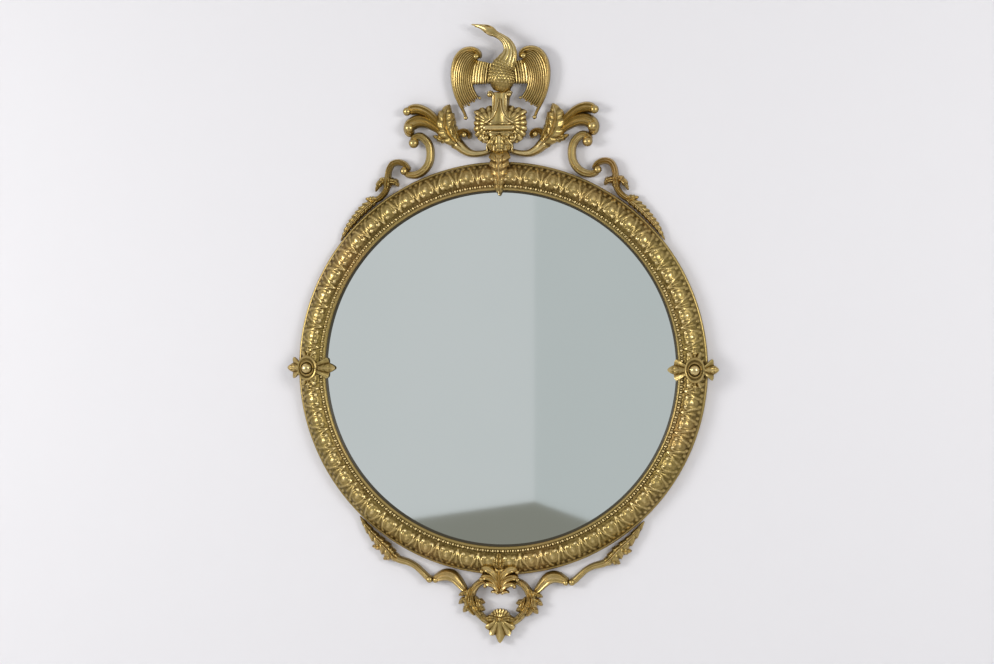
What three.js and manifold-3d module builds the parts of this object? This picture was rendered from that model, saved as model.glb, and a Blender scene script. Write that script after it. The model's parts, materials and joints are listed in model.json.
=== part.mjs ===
// Round wall mirror in a cast-brass frame: a ring with a leaf-and-shell band, a bird on a
// cartouche with scrolling arms above it, a pierced apron below it and a boss on each side.
//
// Millimetres. +Z is up, the front faces -Y and the wall is the plane Y = 0. "Lift" is the
// distance forward from the wall. The origin is on the ring's flat back rim, at its top.

import * as THREE from 'three';
import { LoftGeometry } from 'three/addons/geometries/LoftGeometry.js';
import { mergeVertices } from 'three/addons/utils/BufferGeometryUtils.js';
import Module from 'manifold-3d';

const wasm = await Module();
wasm.setup();

// ---------------------------------------------------------------- driving dimensions

const FIT = 0.3; // clearance kept between two pieces that seat on each other

// Ring
const RING_RADIUS = 300; // outer edge
const RING_FACE = 45; // width of the face, outer edge to sight edge
const RING_DEPTH = 26; // wall to the crest of the band
const RING_WALL = 6; // outer wall of the open-backed casting
const BAND_WALL = 4.5; // metal under the band
const EDGE_HEIGHT = 9; // lift of the outer fillet's corner
const PEARL_AT = 8.7; // pearl row, out from the sight edge
const PEARL_RADIUS = 3;
const LIP_THICKNESS = 1.2; // sight edge, in front of the glass
const RABBET_WALL = 4.5; // wall round the glass
const UNIT_COUNT = 56; // leaf-and-shell repeats in the band
const UNIT_RELIEF = 0.9; // shells stand above, and leaves below, the band's mean surface

// Glass and backing, front to back
const GLASS_LIFT = 15; // front face of the glass
const GLASS_THICKNESS = 4;
const CARD_THICKNESS = 1.2;
const BOARD_THICKNESS = 3;
const GLASS_OVERLAP = 5; // glass hidden under the lip
const GLASS_PLAY = 1.5; // room round the glass in its rabbet
const DISC_SIDES = 48;

// Turn buttons
const BUTTON_COUNT = 6;
const BUTTON_REACH = 24; // pivot to tip
const BUTTON_WIDTH = 11;
const BUTTON_TIP_WIDTH = 7;
const BUTTON_THICKNESS = 2;
const POST_RADIUS = 5; // post on the ring that a button's screw enters
const POST_SUNK = 1.3; // into the rabbet's wall
const SCREW_RADIUS = 1.6;
const SCREW_HEAD_RADIUS = 3.4;
const SCREW_HEAD_HEIGHT = 1.6;
const SCREW_LENGTH = 9;
const SLOT_WIDTH = 0.9;
const SLOT_DEPTH = 0.7;

// Hanger
const WIRE_RADIUS = 1.5;
const LOOP_HALF_WIDTH = 11; // wire centre line
const LOOP_DROP = 16;
const LOOP_CORNER = 4;
const STRAP_WIDTH = 11;
const STRAP_THICKNESS = 1;
const STRAP_LENGTH = 19; // pivot to the far end
const STRAP_SCREWS = [6, 14.5]; // from the pivot
const STRAP_PAD_MARGIN = 1; // pad on the ring, past the strap's sides
const PIVOT_MARGIN = 2; // pivot, out from the rabbet's wall

// Studs that hold the castings to the ring
const STUD_RADIUS = 2.2;
const NUT_ACROSS = 8; // across flats
const NUT_HEIGHT = 4;
const STUD_PROUD = 1; // stud end past its nut
const STUD_ROOT = 6; // stud end inside the casting, past the ring's outer edge
const STUD_LIFT = 6; // height of the radial studs in the outer wall
const CARTOUCHE_STUD_ALONG = 12.5; // arc from the ring's top
const CREST_STUD_ALONG = 205;
const APRON_STUD_ALONG = 172; // arc from the ring's bottom
const KNUCKLE_ALONG = 97; // bend in an apron scroll, where its stem starts
const PALMETTE_STUD_AT = 20; // in from the ring's outer edge

// Castings
const CAST_LIFT = 3; // back of the scrollwork
const CARTOUCHE_TOP = 101; // above the ring's outer edge
const FOOT_HALF_WIDTH = 16; // block at the cartouche's foot, which its studs stand on
const FOOT_HEIGHT = 20;
const FOOT_DEPTH = 7;
const PEG_RADIUS = 3; // bird to cartouche
const PEG_LENGTH = 10;
const PEG_LIFT = 11;
const FEATHER_RELIEF = 0.9;
const FEATHER_NOTCH = 0.95; // how far down the notches between the feathers' tips are
const WING_LIFT = 9; // back of the wings
const SIDE_BOSS_RADIUS = 14; // half its width
const SIDE_BOSS_STRETCH = 1.28; // its height to its width
const SIDE_BOSS_AT = 17.5; // in from the ring's outer edge
const SIDE_BOSS_HEIGHT = 12;
const SIDE_LEAF_HUB = 3; // hub that the boss seats on, in front of the band's crest

// ---------------------------------------------------------------- derived places

const sightRadius = RING_RADIUS - RING_FACE;
const glassRadius = sightRadius + GLASS_OVERLAP;
const rabbetRadius = glassRadius + GLASS_PLAY;
const rabbetOuter = rabbetRadius + RABBET_WALL;
const wallInner = RING_RADIUS - RING_WALL;
const rimRadius = RING_RADIUS - RING_WALL / 2; // middle of the flat back rim
const crest = RING_DEPTH - UNIT_RELIEF; // mean surface of the band
const ledgeLift = GLASS_LIFT + FIT;
const cardLift = GLASS_LIFT - GLASS_THICKNESS - FIT;
const boardLift = cardLift - CARD_THICKNESS - FIT;
const backLift = boardLift - BOARD_THICKNESS; // back of the board, of the rabbet and of the posts
const buttonLift = backLift - FIT; // front face of the turn buttons
const headLift = buttonLift - BUTTON_THICKNESS - FIT; // front face of their screw heads
const channelMiddle = rabbetOuter + POST_RADIUS - POST_SUNK;
const underBand = crest - BAND_WALL - 1; // tops of what stands on the back of the band
const pivotLift = backLift - FIT - STRAP_THICKNESS - FIT - WIRE_RADIUS;
const pivotRadius = rabbetOuter + PIVOT_MARGIN;
const nutSeat = crest - BAND_WALL - 3.5; // flat pads under the band
const nutCorner = NUT_ACROSS / Math.sqrt(3);
const studHole = STUD_RADIUS + FIT;
const nutRadius = wallInner * Math.cos(Math.PI / UNIT_COUNT / 2) - FIT; // radius where the radial nuts seat
const studEnd = nutRadius - NUT_HEIGHT - STUD_PROUD; // radius where the radial studs end
const sideBossRadius = RING_RADIUS - SIDE_BOSS_AT;
const sideHubLift = RING_DEPTH + SIDE_LEAF_HUB;

const ROUND_TURN = 2 * Math.PI;
const buttonAngles = Array.from({ length: BUTTON_COUNT }, (_, i) => ((i + 0.5) * ROUND_TURN) / BUTTON_COUNT);

// Studs through the outer wall, as turns from the ring's top.
const radialStuds = {
  cartouche_right: CARTOUCHE_STUD_ALONG / RING_RADIUS,
  cartouche_left: -CARTOUCHE_STUD_ALONG / RING_RADIUS,
  crest_scroll_right: CREST_STUD_ALONG / RING_RADIUS,
  crest_scroll_left: -CREST_STUD_ALONG / RING_RADIUS,
  apron_scroll_right: Math.PI - APRON_STUD_ALONG / RING_RADIUS,
  apron_scroll_left: Math.PI + APRON_STUD_ALONG / RING_RADIUS,
};

// Studs through the band from the front, as a turn from the top and a radius.
const frontStuds = {
  side_boss_right: [Math.PI / 2, sideBossRadius],
  side_boss_left: [-Math.PI / 2, sideBossRadius],
  palmette: [Math.PI, RING_RADIUS - PALMETTE_STUD_AT],
};

// ---------------------------------------------------------------- materials

const brass = () => new THREE.MeshStandardMaterial({ color: 0xa88d50, roughness: 0.42, metalness: 1 });
const steel = () => new THREE.MeshStandardMaterial({ color: 0x9c9a94, roughness: 0.4, metalness: 1 });
const mirror = () => new THREE.MeshStandardMaterial({ color: 0xb9c0c0, roughness: 0.03, metalness: 1 });
const board = () => new THREE.MeshStandardMaterial({ color: 0x6e4e32, roughness: 0.85, metalness: 0 });
const card = () => new THREE.MeshStandardMaterial({ color: 0xb49a72, roughness: 0.95, metalness: 0 });

// ---------------------------------------------------------------- solids

// A closed geometry as a solid, with its faces turned outwards.
function solid(geometry) {
  const bare = new THREE.BufferGeometry().copy(geometry);
  bare.deleteAttribute('normal');
  bare.deleteAttribute('uv');
  const merged = mergeVertices(bare);
  const places = merged.getAttribute('position');
  const index = merged.getIndex().array;
  const corner = (i) => new THREE.Vector3().fromBufferAttribute(places, i);
  const faces = [];
  let volume = 0;
  for (let i = 0; i < index.length; i += 3) {
    const [a, b, c] = [index[i], index[i + 1], index[i + 2]];
    if (a === b || b === c || c === a) continue;
    volume += corner(a).dot(corner(b).cross(corner(c)));
    faces.push([a, b, c]);
  }
  const turned = volume < 0 ? faces.map(([a, b, c]) => [a, c, b]) : faces;
  return new wasm.Manifold(new wasm.Mesh({
    numProp: 3,
    vertProperties: new Float32Array(places.array),
    triVerts: new Uint32Array(turned.flat()),
  }));
}

const joined = (solids) => solids.reduce((whole, next) => whole.add(next));

// A solid as a named mesh.
function piece(name, shape, material) {
  const { vertProperties, triVerts } = shape.getMesh();
  const geometry = new THREE.BufferGeometry();
  geometry.setAttribute('position', new THREE.BufferAttribute(vertProperties, 3));
  geometry.setIndex(new THREE.BufferAttribute(triVerts, 1));
  geometry.computeVertexNormals();
  const mesh = new THREE.Mesh(geometry, material);
  mesh.name = name;
  return mesh;
}

// A round bar between two points.
function rod(radius, from, to, sides = 8) {
  const geometry = new THREE.CylinderGeometry(radius, radius, from.distanceTo(to), sides);
  const turn = new THREE.Quaternion().setFromUnitVectors(
    new THREE.Vector3(0, 1, 0),
    to.clone().sub(from).normalize(),
  );
  geometry.applyQuaternion(turn);
  geometry.translate(...from.clone().lerp(to, 0.5).toArray());
  return solid(geometry);
}

// What a round hole takes away: its flats, not its corners, lie at the radius.
const hole = (radius, from, to, sides = 8) => rod(radius / Math.cos(Math.PI / sides), from, to, sides);

// A block from its lowest to its highest corner.
function block(low, high) {
  const size = high.map((value, axis) => value - low[axis]);
  const geometry = new THREE.BoxGeometry(...size);
  geometry.translate(...low.map((value, axis) => value + size[axis] / 2));
  return solid(geometry);
}

// A turned piece whose axis points forward from the wall: [radius, lift] points.
function turned(profile, sides) {
  const geometry = new THREE.LatheGeometry(profile.map((point) => new THREE.Vector2(...point)), sides);
  geometry.rotateX(Math.PI);
  return solid(geometry);
}

// ---------------------------------------------------------------- places on the ring

const atAngle = (angle, radius, lift) => new THREE.Vector3(
  radius * Math.sin(angle),
  -lift,
  radius * Math.cos(angle),
);

// The rest give [x, z] from the ring's centre. The first two bend a drawing round the outer
// edge: along is arc length from the top or the bottom, out is height above the edge.
const onRimTop = (along, out) => [
  (RING_RADIUS + out) * Math.sin(along / RING_RADIUS),
  (RING_RADIUS + out) * Math.cos(along / RING_RADIUS),
];
const onRimBottom = (along, out) => {
  const [x, z] = onRimTop(along, out);
  return [x, -z];
};
const aboveRing = (x, out) => [x, RING_RADIUS + out];
const aboveCartouche = (x, up) => aboveRing(x, CARTOUCHE_TOP + up);
const belowRing = (x, out) => [x, -RING_RADIUS - out];
const besideRing = (up, out) => [RING_RADIUS + out, up];

// ---------------------------------------------------------------- limbs

// Cross-sections as [across, up] shares of the half width and the rise.
const BAR = [[1, 0], [0.8, 0.75], [0, 1], [-0.8, 0.75], [-1, 0]];
const LEAF = [[1, 0.1], [0.55, 1], [0, 0.6], [-0.55, 1], [-1, 0.1]];
const ROUND = Array.from({ length: 8 }, (_, i) => {
  const angle = ((i + 0.5) * Math.PI) / 4;
  return [Math.cos(angle), 0.5 + 0.5 * Math.sin(angle)];
});
const FAN_HEART = 0.12; // share of a ray at which a fan's ribs start

// A limb of a casting, lofted along a smooth curve through its stations. A station is
// [along, out, half width, rise, forward of the lift, other half width]. Bite draws every
// second section in, for leaf tips. Grow makes the same limb larger all over.
function limb(stations, options = {}) {
  const {
    place = onRimTop, side = 1, section = BAR, lift = CAST_LIFT, perSpan = 2, bite = 0, grow = 0,
  } = options;
  const course = stations.map(([along, out, , , forward = 0]) => {
    const [x, z] = place(along, out);
    return new THREE.Vector3(side * x, lift + forward, z);
  });
  const girth = stations.map(([, , width, rise, , other = width]) => new THREE.Vector3(width, other, rise));
  const path = new THREE.CatmullRomCurve3(course, false, 'centripetal');
  const size = new THREE.CatmullRomCurve3(girth, false, 'catmullrom', 0.4);
  const steps = (stations.length - 1) * perSpan;
  const sections = [];
  for (let i = 0; i <= steps; i += 1) {
    const t = i / steps;
    const centre = path.getPoint(t);
    const heading = path.getTangent(t).setY(0).normalize();
    const across = new THREE.Vector3(-heading.z, 0, heading.x).multiplyScalar(side);
    const [width, other, rise] = size.getPoint(t).toArray();
    const drawn = i % 2 ? 1 - bite : 1;
    const overrun = grow * (i === steps ? 1 : i === 0 ? -1 : 0);
    const loop = section.map(([share, up]) => {
      const reach = share * (share > 0 ? width : other) * drawn + Math.sign(share) * grow;
      const point = centre.clone().addScaledVector(across, reach).addScaledVector(heading, overrun);
      point.y = -(centre.y + up * rise + (up > 0.5 ? grow : -grow));
      return point;
    });
    sections.push(side < 0 ? loop.reverse() : loop);
  }
  return solid(new LoftGeometry(sections, { capStart: true, capEnd: true }));
}

const limbs = (lists, options) => lists.map((stations) => limb(stations, options));
const TIP = { section: LEAF, perSpan: 1 }; // short leaf tips

// A knob, such as the eye of a rolled end, its middle forward of the lift.
function knob(along, out, radius, forward, options = {}) {
  const { place = onRimTop, side = 1, lift = CAST_LIFT, grow = 0 } = options;
  const [x, z] = place(along, out);
  const geometry = new THREE.SphereGeometry(radius + grow, 6, 4);
  geometry.rotateX(Math.PI / 2);
  geometry.translate(side * x, -lift - forward, z);
  return solid(geometry);
}

// Ribs that spread from a root like a shell's, in one plate. A ray runs from the root to each
// point of the outline, and every second ray stands higher by the rib. Back, low (at the root),
// high (half way out) and edge are thicknesses in front of the lift.
function fan(root, outline, options = {}) {
  const {
    place = aboveRing, side = 1, lift = CAST_LIFT, back = 0, low = 8, high = 10, edge = 5, rib = 0.8, grow = 0,
  } = options;
  const flat = (point) => {
    const [x, z] = place(...point);
    return new THREE.Vector2(side * x, z);
  };
  const heart = flat(root);
  const ways = outline.map((point) => flat(point).sub(heart));
  const turn = Math.sign(ways.slice(1).reduce((sum, way, i) => sum + ways[i].cross(way), 0));
  const sections = ways.map((way, i) => {
    const aside = new THREE.Vector2(-way.y, way.x).normalize();
    aside.multiplyScalar(turn * grow * (i === 0 ? -1 : Number(i === ways.length - 1)));
    const proud = grow + (i % 2 ? rib : -rib);
    const loop = [
      [FAN_HEART, back - grow], [FAN_HEART, low + grow], [0.55, high + proud], [1, edge + proud], [1, back - grow],
    ].map(([share, height]) => {
      const reach = way.length() * share + (share === 1 ? grow : 0);
      const at = heart.clone().add(aside).addScaledVector(way.clone().normalize(), reach);
      return new THREE.Vector3(at.x, -lift - height, at.y);
    });
    return turn < 0 ? loop.reverse() : loop;
  });
  return solid(new LoftGeometry(sections, { capStart: true, capEnd: true }));
}

// ---------------------------------------------------------------- ring

// [radius, lift, relief] round the casting's section, front first. Relief is the share of
// the band's carving that a point takes.
const FRONT_POINTS = 8;
function ringSection() {
  const r = RING_RADIUS;
  const pearl = sightRadius + PEARL_AT;
  const shoulder = ledgeLift + LIP_THICKNESS;
  return [
    [r, 0, 0],
    [r, EDGE_HEIGHT, 0],
    [r - 3.5, EDGE_HEIGHT + 1.2, 0],
    [r - 12, crest - 4.6, 0.6],
    [r - 22, crest, 1],
    [pearl + PEARL_RADIUS, crest - 4, 0.4],
    [sightRadius, shoulder, 0],
    [sightRadius, ledgeLift, 0],
    [rabbetRadius, ledgeLift, 0],
    [rabbetRadius, backLift, 0],
    [rabbetOuter, backLift, 0],
    [rabbetOuter, crest - BAND_WALL - 3, 0],
    [r - 22, crest - BAND_WALL - 0.5, 0],
    [wallInner, EDGE_HEIGHT + 3, 0],
    [wallInner, 0, 0],
  ];
}

function ringBody() {
  const profile = ringSection();
  const count = UNIT_COUNT * 2;
  const sections = [];
  for (let i = 0; i <= count; i += 1) {
    const angle = ((i % count) * ROUND_TURN) / count;
    const relief = i % 2 ? -UNIT_RELIEF : UNIT_RELIEF;
    sections.push(profile.map(([radius, lift, share]) => atAngle(angle, radius, lift + relief * share)));
  }
  return solid(new LoftGeometry(sections));
}

// What the castings that lie over the ring must clear: its face, with the fit on it.
function ringEnvelope() {
  const slopeFit = FIT * 1.5; // measured forward, where the face slopes
  const front = ringSection().slice(0, FRONT_POINTS).map(([radius, lift, share]) => {
    const outwards = radius > RING_RADIUS - 4 ? FIT : 0;
    const inwards = radius < sightRadius + 1 ? FIT : 0;
    return [radius + outwards - inwards, lift + UNIT_RELIEF * share + slopeFit];
  });
  const behind = -RING_DEPTH;
  const [outer] = front[0];
  const [inner] = front[front.length - 1];
  return turned([[outer, behind], ...front, [inner, behind], [outer, behind]], UNIT_COUNT * 2);
}

// The ring's outer cylinder with the fit: what seats on the outer edge is cut by this.
const edgeCylinder = () => rod(
  RING_RADIUS + FIT,
  new THREE.Vector3(0, RING_DEPTH, 0),
  new THREE.Vector3(0, -RING_DEPTH * 2, 0),
  UNIT_COUNT * 2,
);

// A casting's stud through the ring's outer wall.
const radialStud = (angle) => rod(
  STUD_RADIUS,
  atAngle(angle, studEnd, STUD_LIFT),
  atAngle(angle, RING_RADIUS + STUD_ROOT, STUD_LIFT),
);

function frameRing() {
  const posts = buttonAngles.map((angle) => rod(
    POST_RADIUS,
    atAngle(angle, channelMiddle, backLift),
    atAngle(angle, channelMiddle, underBand),
  ));
  const padHalf = STRAP_WIDTH / 2 + STRAP_PAD_MARGIN;
  const pad = block(
    [-padHalf, -underBand, rabbetOuter - 1],
    [padHalf, -backLift, pivotRadius + STRAP_LENGTH],
  );
  let body = joined([ringBody(), ...posts, pad]);
  for (const [angle, radius] of Object.values(frontStuds)) {
    const seat = atAngle(angle, radius, nutSeat);
    const room = hole(nutCorner + FIT, atAngle(angle, radius, 0), seat);
    const boss = rod(nutCorner + 2 * FIT, seat, atAngle(angle, radius, nutSeat + 3));
    const way = hole(studHole, atAngle(angle, radius, 0), atAngle(angle, radius, RING_DEPTH * 2));
    body = body.subtract(room).add(boss).subtract(way);
  }
  const inWall = (angle) => hole(
    studHole,
    atAngle(angle, studEnd, STUD_LIFT),
    atAngle(angle, RING_RADIUS + STUD_ROOT, STUD_LIFT),
  );
  const forScrew = (angle, radius) => hole(
    SCREW_RADIUS + FIT,
    atAngle(angle, radius, 0),
    atAngle(angle, radius, backLift + SCREW_LENGTH),
  );
  const cuts = [
    ...Object.values(radialStuds).map(inWall),
    ...buttonAngles.map((angle) => forScrew(angle, channelMiddle)),
    ...STRAP_SCREWS.map((at) => forScrew(0, pivotRadius + at)),
  ];
  return body.subtract(joined(cuts));
}

// ---------------------------------------------------------------- glass and backing

const disc = (radius, front, thickness) => turned(
  [[0, front - thickness], [radius, front - thickness], [radius, front], [0, front]],
  DISC_SIDES,
);

// ---------------------------------------------------------------- fasteners

// A slotted screw, head towards the wall, its bearing face at lift 0.
function screw(length) {
  const blank = turned([
    [0, -SCREW_HEAD_HEIGHT],
    [SCREW_HEAD_RADIUS * 0.8, -SCREW_HEAD_HEIGHT],
    [SCREW_HEAD_RADIUS, 0],
    [SCREW_RADIUS, 0],
    [SCREW_RADIUS, length],
    [0, length],
  ], 6);
  const slot = block(
    [-SCREW_HEAD_RADIUS, SCREW_HEAD_HEIGHT - SLOT_DEPTH, -SLOT_WIDTH / 2],
    [SCREW_HEAD_RADIUS, SCREW_HEAD_HEIGHT + SLOT_DEPTH, SLOT_WIDTH / 2],
  );
  return blank.subtract(slot);
}

// A six-sided nut whose seat is at lift 0 and whose body runs towards the wall.
function nut() {
  const bore = studHole / Math.cos(Math.PI / 6);
  return turned([
    [bore, -NUT_HEIGHT],
    [nutCorner, -NUT_HEIGHT],
    [nutCorner, 0],
    [bore, 0],
    [bore, -NUT_HEIGHT],
  ], 6);
}

// ---------------------------------------------------------------- turn buttons

// Round at the pivot, narrower at the tip, which reaches in over the board.
function turnButton() {
  const arcSteps = 3; // in each half circle
  const outline = new THREE.Shape();
  outline.absarc(0, 0, BUTTON_WIDTH / 2, 0, Math.PI, false);
  outline.absarc(0, BUTTON_TIP_WIDTH / 2 - BUTTON_REACH, BUTTON_TIP_WIDTH / 2, Math.PI, ROUND_TURN, false);
  const pivot = new THREE.Path();
  pivot.absarc(0, 0, (SCREW_RADIUS + FIT) / Math.cos(Math.PI / (2 * arcSteps)), 0, ROUND_TURN, true);
  outline.holes.push(pivot);
  const geometry = new THREE.ExtrudeGeometry(outline, {
    depth: BUTTON_THICKNESS,
    bevelEnabled: false,
    curveSegments: arcSteps,
  });
  geometry.rotateX(Math.PI / 2);
  return solid(geometry);
}

// ---------------------------------------------------------------- hanger

// A D-shaped wire ring that hangs below its bar, which lies along X through the origin.
function hangerRing() {
  const reach = LOOP_HALF_WIDTH;
  const corner = LOOP_CORNER;
  const line = new THREE.Shape();
  line.moveTo(corner - reach, 0);
  line.lineTo(reach - corner, 0);
  line.absarc(reach - corner, -corner, corner, Math.PI / 2, 0, true);
  line.absarc(0, reach - LOOP_DROP, reach, 0, -Math.PI, true);
  line.absarc(corner - reach, -corner, corner, Math.PI, Math.PI / 2, true);
  const points = line.getPoints(3).filter((p, i, all) => p.distanceTo(all.at(i - 1)) > 0.01);
  const sides = 6;
  const sections = [];
  for (let i = 0; i <= points.length; i += 1) {
    const here = points[i % points.length];
    const before = points.at(i - 1);
    const after = points[(i + 1) % points.length];
    const way = after.clone().sub(before).normalize();
    const normal = new THREE.Vector2(-way.y, way.x);
    sections.push(Array.from({ length: sides }, (_, j) => {
      const angle = (j * ROUND_TURN) / sides;
      const at = here.clone().addScaledVector(normal, WIRE_RADIUS * Math.cos(angle));
      return new THREE.Vector3(at.x, WIRE_RADIUS * Math.sin(angle), at.y);
    }));
  }
  return solid(new LoftGeometry(sections));
}

// The strap rolled round the ring's bar, with its screw holes. Its origin is the bar's centre.
function hangerStrap() {
  const half = STRAP_WIDTH / 2;
  const inner = WIRE_RADIUS + FIT;
  const outer = inner + STRAP_THICKNESS;
  const end = new THREE.Vector3(half, 0, 0);
  const past = new THREE.Vector3(STRAP_WIDTH, 0, 0);
  const roll = rod(outer, end.clone().negate(), end, 12);
  const plate = block([-half, -outer, 0], [half, -inner, STRAP_LENGTH]);
  const bore = hole(inner, past.clone().negate(), past, 12);
  const screwHoles = STRAP_SCREWS.map((at) => hole(
    SCREW_RADIUS + FIT,
    new THREE.Vector3(0, 0, at),
    new THREE.Vector3(0, -outer * 2, at),
  ));
  return roll.add(plate).subtract(joined([bore, ...screwHoles]));
}

// ---------------------------------------------------------------- crest, centre

// Vase-shaped body of the cartouche.
const vase = (grow = 0) => limb([
  [0, 14, 16, 15], [0, 26, 18.5, 18], [0, 37, 23, 21], [0, 48, 27, 23], [0, 59, 24, 23], [0, 70, 17, 21],
  [0, CARTOUCHE_TOP - 20, 13, 17], [0, CARTOUCHE_TOP - 10, 13.5, 15], [0, CARTOUCHE_TOP, 16.5, 14],
], { place: aboveRing, grow, perSpan: 1 });

const foot = (grow = 0) => block(
  [-FOOT_HALF_WIDTH - grow, -CAST_LIFT - FOOT_DEPTH - grow, RING_RADIUS - RING_WALL],
  [FOOT_HALF_WIDTH + grow, -CAST_LIFT + grow, RING_RADIUS + FOOT_HEIGHT + grow],
);

function crestCartouche() {
  const bar = new THREE.CapsuleGeometry(4.6, 40, 2, 6);
  bar.rotateZ(Math.PI / 2);
  bar.translate(0, -CAST_LIFT - 22, RING_RADIUS + 47.5);
  const shell = [
    [14, 80], [23, 79], [29, 75], [38.5, 73], [36, 64], [38.5, 57.5], [36, 51], [38, 44.5], [34.5, 39],
    [32.5, 31], [22, 28],
  ];
  const rib = [[22, 54.5, 1.5, 6, 14], [9, 66, 2, 6, 16], [3.5, 81, 1.6, 6, 12]];
  const parts = [vase(), foot(), solid(bar)];
  for (const side of [-1, 1]) {
    const options = { place: aboveRing, side };
    parts.push(
      knob(14.5, CARTOUCHE_TOP - 5, 5, 9, options),
      knob(19, 34, 4.5, 17, options),
      fan([11, 54], shell, { ...options, low: 18, high: 17, rib: 1.2 }),
      limb(rib, { ...options, perSpan: 1 }),
    );
  }
  const peg = hole(
    PEG_RADIUS + FIT,
    new THREE.Vector3(0, -PEG_LIFT, RING_RADIUS + CARTOUCHE_TOP - PEG_LENGTH - FIT),
    new THREE.Vector3(0, -PEG_LIFT, RING_RADIUS + CARTOUCHE_TOP + PEG_LENGTH),
  );
  const studs = [radialStud(radialStuds.cartouche_right), radialStud(radialStuds.cartouche_left)];
  return joined([joined(parts).subtract(edgeCylinder()).subtract(peg), ...studs]);
}

// Acanthus drop over the ring's top edge.
function crestDrop(envelope) {
  const [edge, brow] = [CAST_LIFT + FOOT_DEPTH + 1, RING_DEPTH - 6];
  const leaf = limb([
    [0, 13.7, 15, 11, edge], [0, 4, 17.5, 14, edge], [0, -6, 17, 17, edge + 2], [0, -16, 14.5, 13, brow],
    [0, -28, 10, 11, brow], [0, -40, 7, 9, brow - 1], [0, -50, 1, 4, brow - 1],
  ], { place: aboveRing, section: LEAF, lift: 0, bite: 0.16 });
  return leaf.subtract(envelope).subtract(foot(FIT)).subtract(vase(FIT));
}

// Body, neck and head in one casting. The head looks to the viewer's left.
function birdBody(grow = 0) {
  const whole = limb([
    [0, -1, 11, 14, 1], [2, 9, 18, 24, 1], [3, 21, 20.5, 29, 1], [5.5, 33, 18.5, 28, 2],
    [10.5, 43, 14.5, 23, 4], [14.5, 52, 11, 18.5, 6], [15, 61, 8.7, 15, 8], [11, 70, 6.8, 12.5, 10],
    [3.5, 77, 5, 11, 11], [-5, 82, 5, 10.8, 11], [-12, 86.5, 7, 12, 10.5], [-19.5, 90.5, 6.2, 12, 10.5],
    [-26.5, 93.2, 3.6, 8, 12.5], [-33, 95, 2.2, 4.6, 14], [-41, 97, 0.7, 1.6, 15.5],
  ], { place: aboveCartouche, section: ROUND, grow, perSpan: 1 });
  const below = RING_RADIUS + CARTOUCHE_TOP + FIT - grow;
  return whole.subtract(block([-30, -RING_DEPTH * 2, below - 20], [30, 0, below]));
}

const bird = () => birdBody().add(rod(
  PEG_RADIUS,
  new THREE.Vector3(0, -PEG_LIFT, RING_RADIUS + CARTOUCHE_TOP - PEG_LENGTH),
  new THREE.Vector3(0, -PEG_LIFT, RING_RADIUS + CARTOUCHE_TOP + PEG_LENGTH),
));

// One point of a cubic curve through four controls.
function cubic(controls, t) {
  const weights = [(1 - t) ** 3, 3 * t * (1 - t) ** 2, 3 * t ** 2 * (1 - t), t ** 3];
  return [0, 1].map((axis) => controls.reduce((sum, point, i) => sum + weights[i] * point[axis], 0));
}

// A panel of feathers between an inner and an outer feather line, ribbed across.
function featherPanel({ inner, outer, feathers, rows, thickness }, side) {
  const sections = [];
  for (let i = 0; i <= rows; i += 1) {
    const row = Array.from({ length: feathers * 2 + 1 }, (_, j) => {
      const t = j / (feathers * 2);
      const s = (i / rows) * (j % 2 ? 1 : FEATHER_NOTCH);
      const controls = inner.map((point, k) => point.map((value, axis) => value + (outer[k][axis] - value) * t));
      const [x, z] = aboveCartouche(...cubic(controls, s));
      const rib = j % 2 ? FEATHER_RELIEF : -FEATHER_RELIEF;
      const belly = 3 * Math.sin(Math.PI * t) * (1 - 0.5 * s);
      return { x: side * x, z, front: WING_LIFT + thickness + belly + rib };
    });
    const loop = [
      ...row.map(({ x, z, front }) => new THREE.Vector3(x, -front, z)),
      ...[row.at(-1), row[0]].map(({ x, z }) => new THREE.Vector3(x, -WING_LIFT, z)),
    ];
    sections.push(side > 0 ? loop.reverse() : loop);
  }
  return solid(new LoftGeometry(sections, { capStart: true, capEnd: true }));
}

const PRIMARIES = {
  inner: [[33, 46], [41, 35], [47, 11], [30, -9]],
  outer: [[35, 59], [61, 78], [88, 16], [54, -24]],
  feathers: 6, rows: 6, thickness: 4,
};
const SECONDARIES = {
  inner: [[6, 38], [8, 31], [10, 22], [11, 12]],
  outer: [[36, 46], [40, 36], [42, 23], [42, 11.5]],
  feathers: 5, rows: 2, thickness: 5,
};

function wing(side) {
  const options = { place: aboveCartouche, side, lift: WING_LIFT };
  const leading = limb([
    [33, 47, 2.5, 9], [31, 54, 3.8, 10], [37, 61, 4.2, 10], [48, 62.5, 4.2, 9], [61, 55, 4, 8],
    [69, 39, 3.8, 7], [70, 18, 3.4, 6], [65, -4, 3, 5.5], [57.5, -21, 2.6, 5], [51, -36, 2.4, 5],
  ], { ...options, perSpan: 1 });
  const knobs = [knob(34.5, 51, 4.8, 6, options), knob(50.5, -37, 3.2, 3, options)];
  return joined([featherPanel(PRIMARIES, side), featherPanel(SECONDARIES, side), leading, ...knobs])
    .subtract(birdBody(FIT));
}

// ---------------------------------------------------------------- crest, sides

// The two fluted lobes that roll over outwards from an arm's leaf.
function armLobes(side, grow = 0) {
  const options = { side, grow };
  const lobes = [
    [[72, 58, 5, 10], [78.5, 75, 5.6, 12], [86, 89.5, 6.6, 13], [96, 98.5, 7.4, 13], [106, 99, 6.6, 12]],
    [
      [73, 52, 5, 12], [82, 66, 6.4, 13], [90, 76, 7.6, 14], [99.5, 81.5, 8.8, 14], [108.5, 78.5, 9, 14],
      [111.5, 71, 8, 13], [109.5, 64, 5, 10],
    ],
  ];
  return [
    ...limbs(lobes, { ...options, perSpan: 1 }),
    knob(105.5, 98.5, 6.9, 8, options),
    knob(110, 74.5, 7.8, 9, options),
  ];
}

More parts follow.
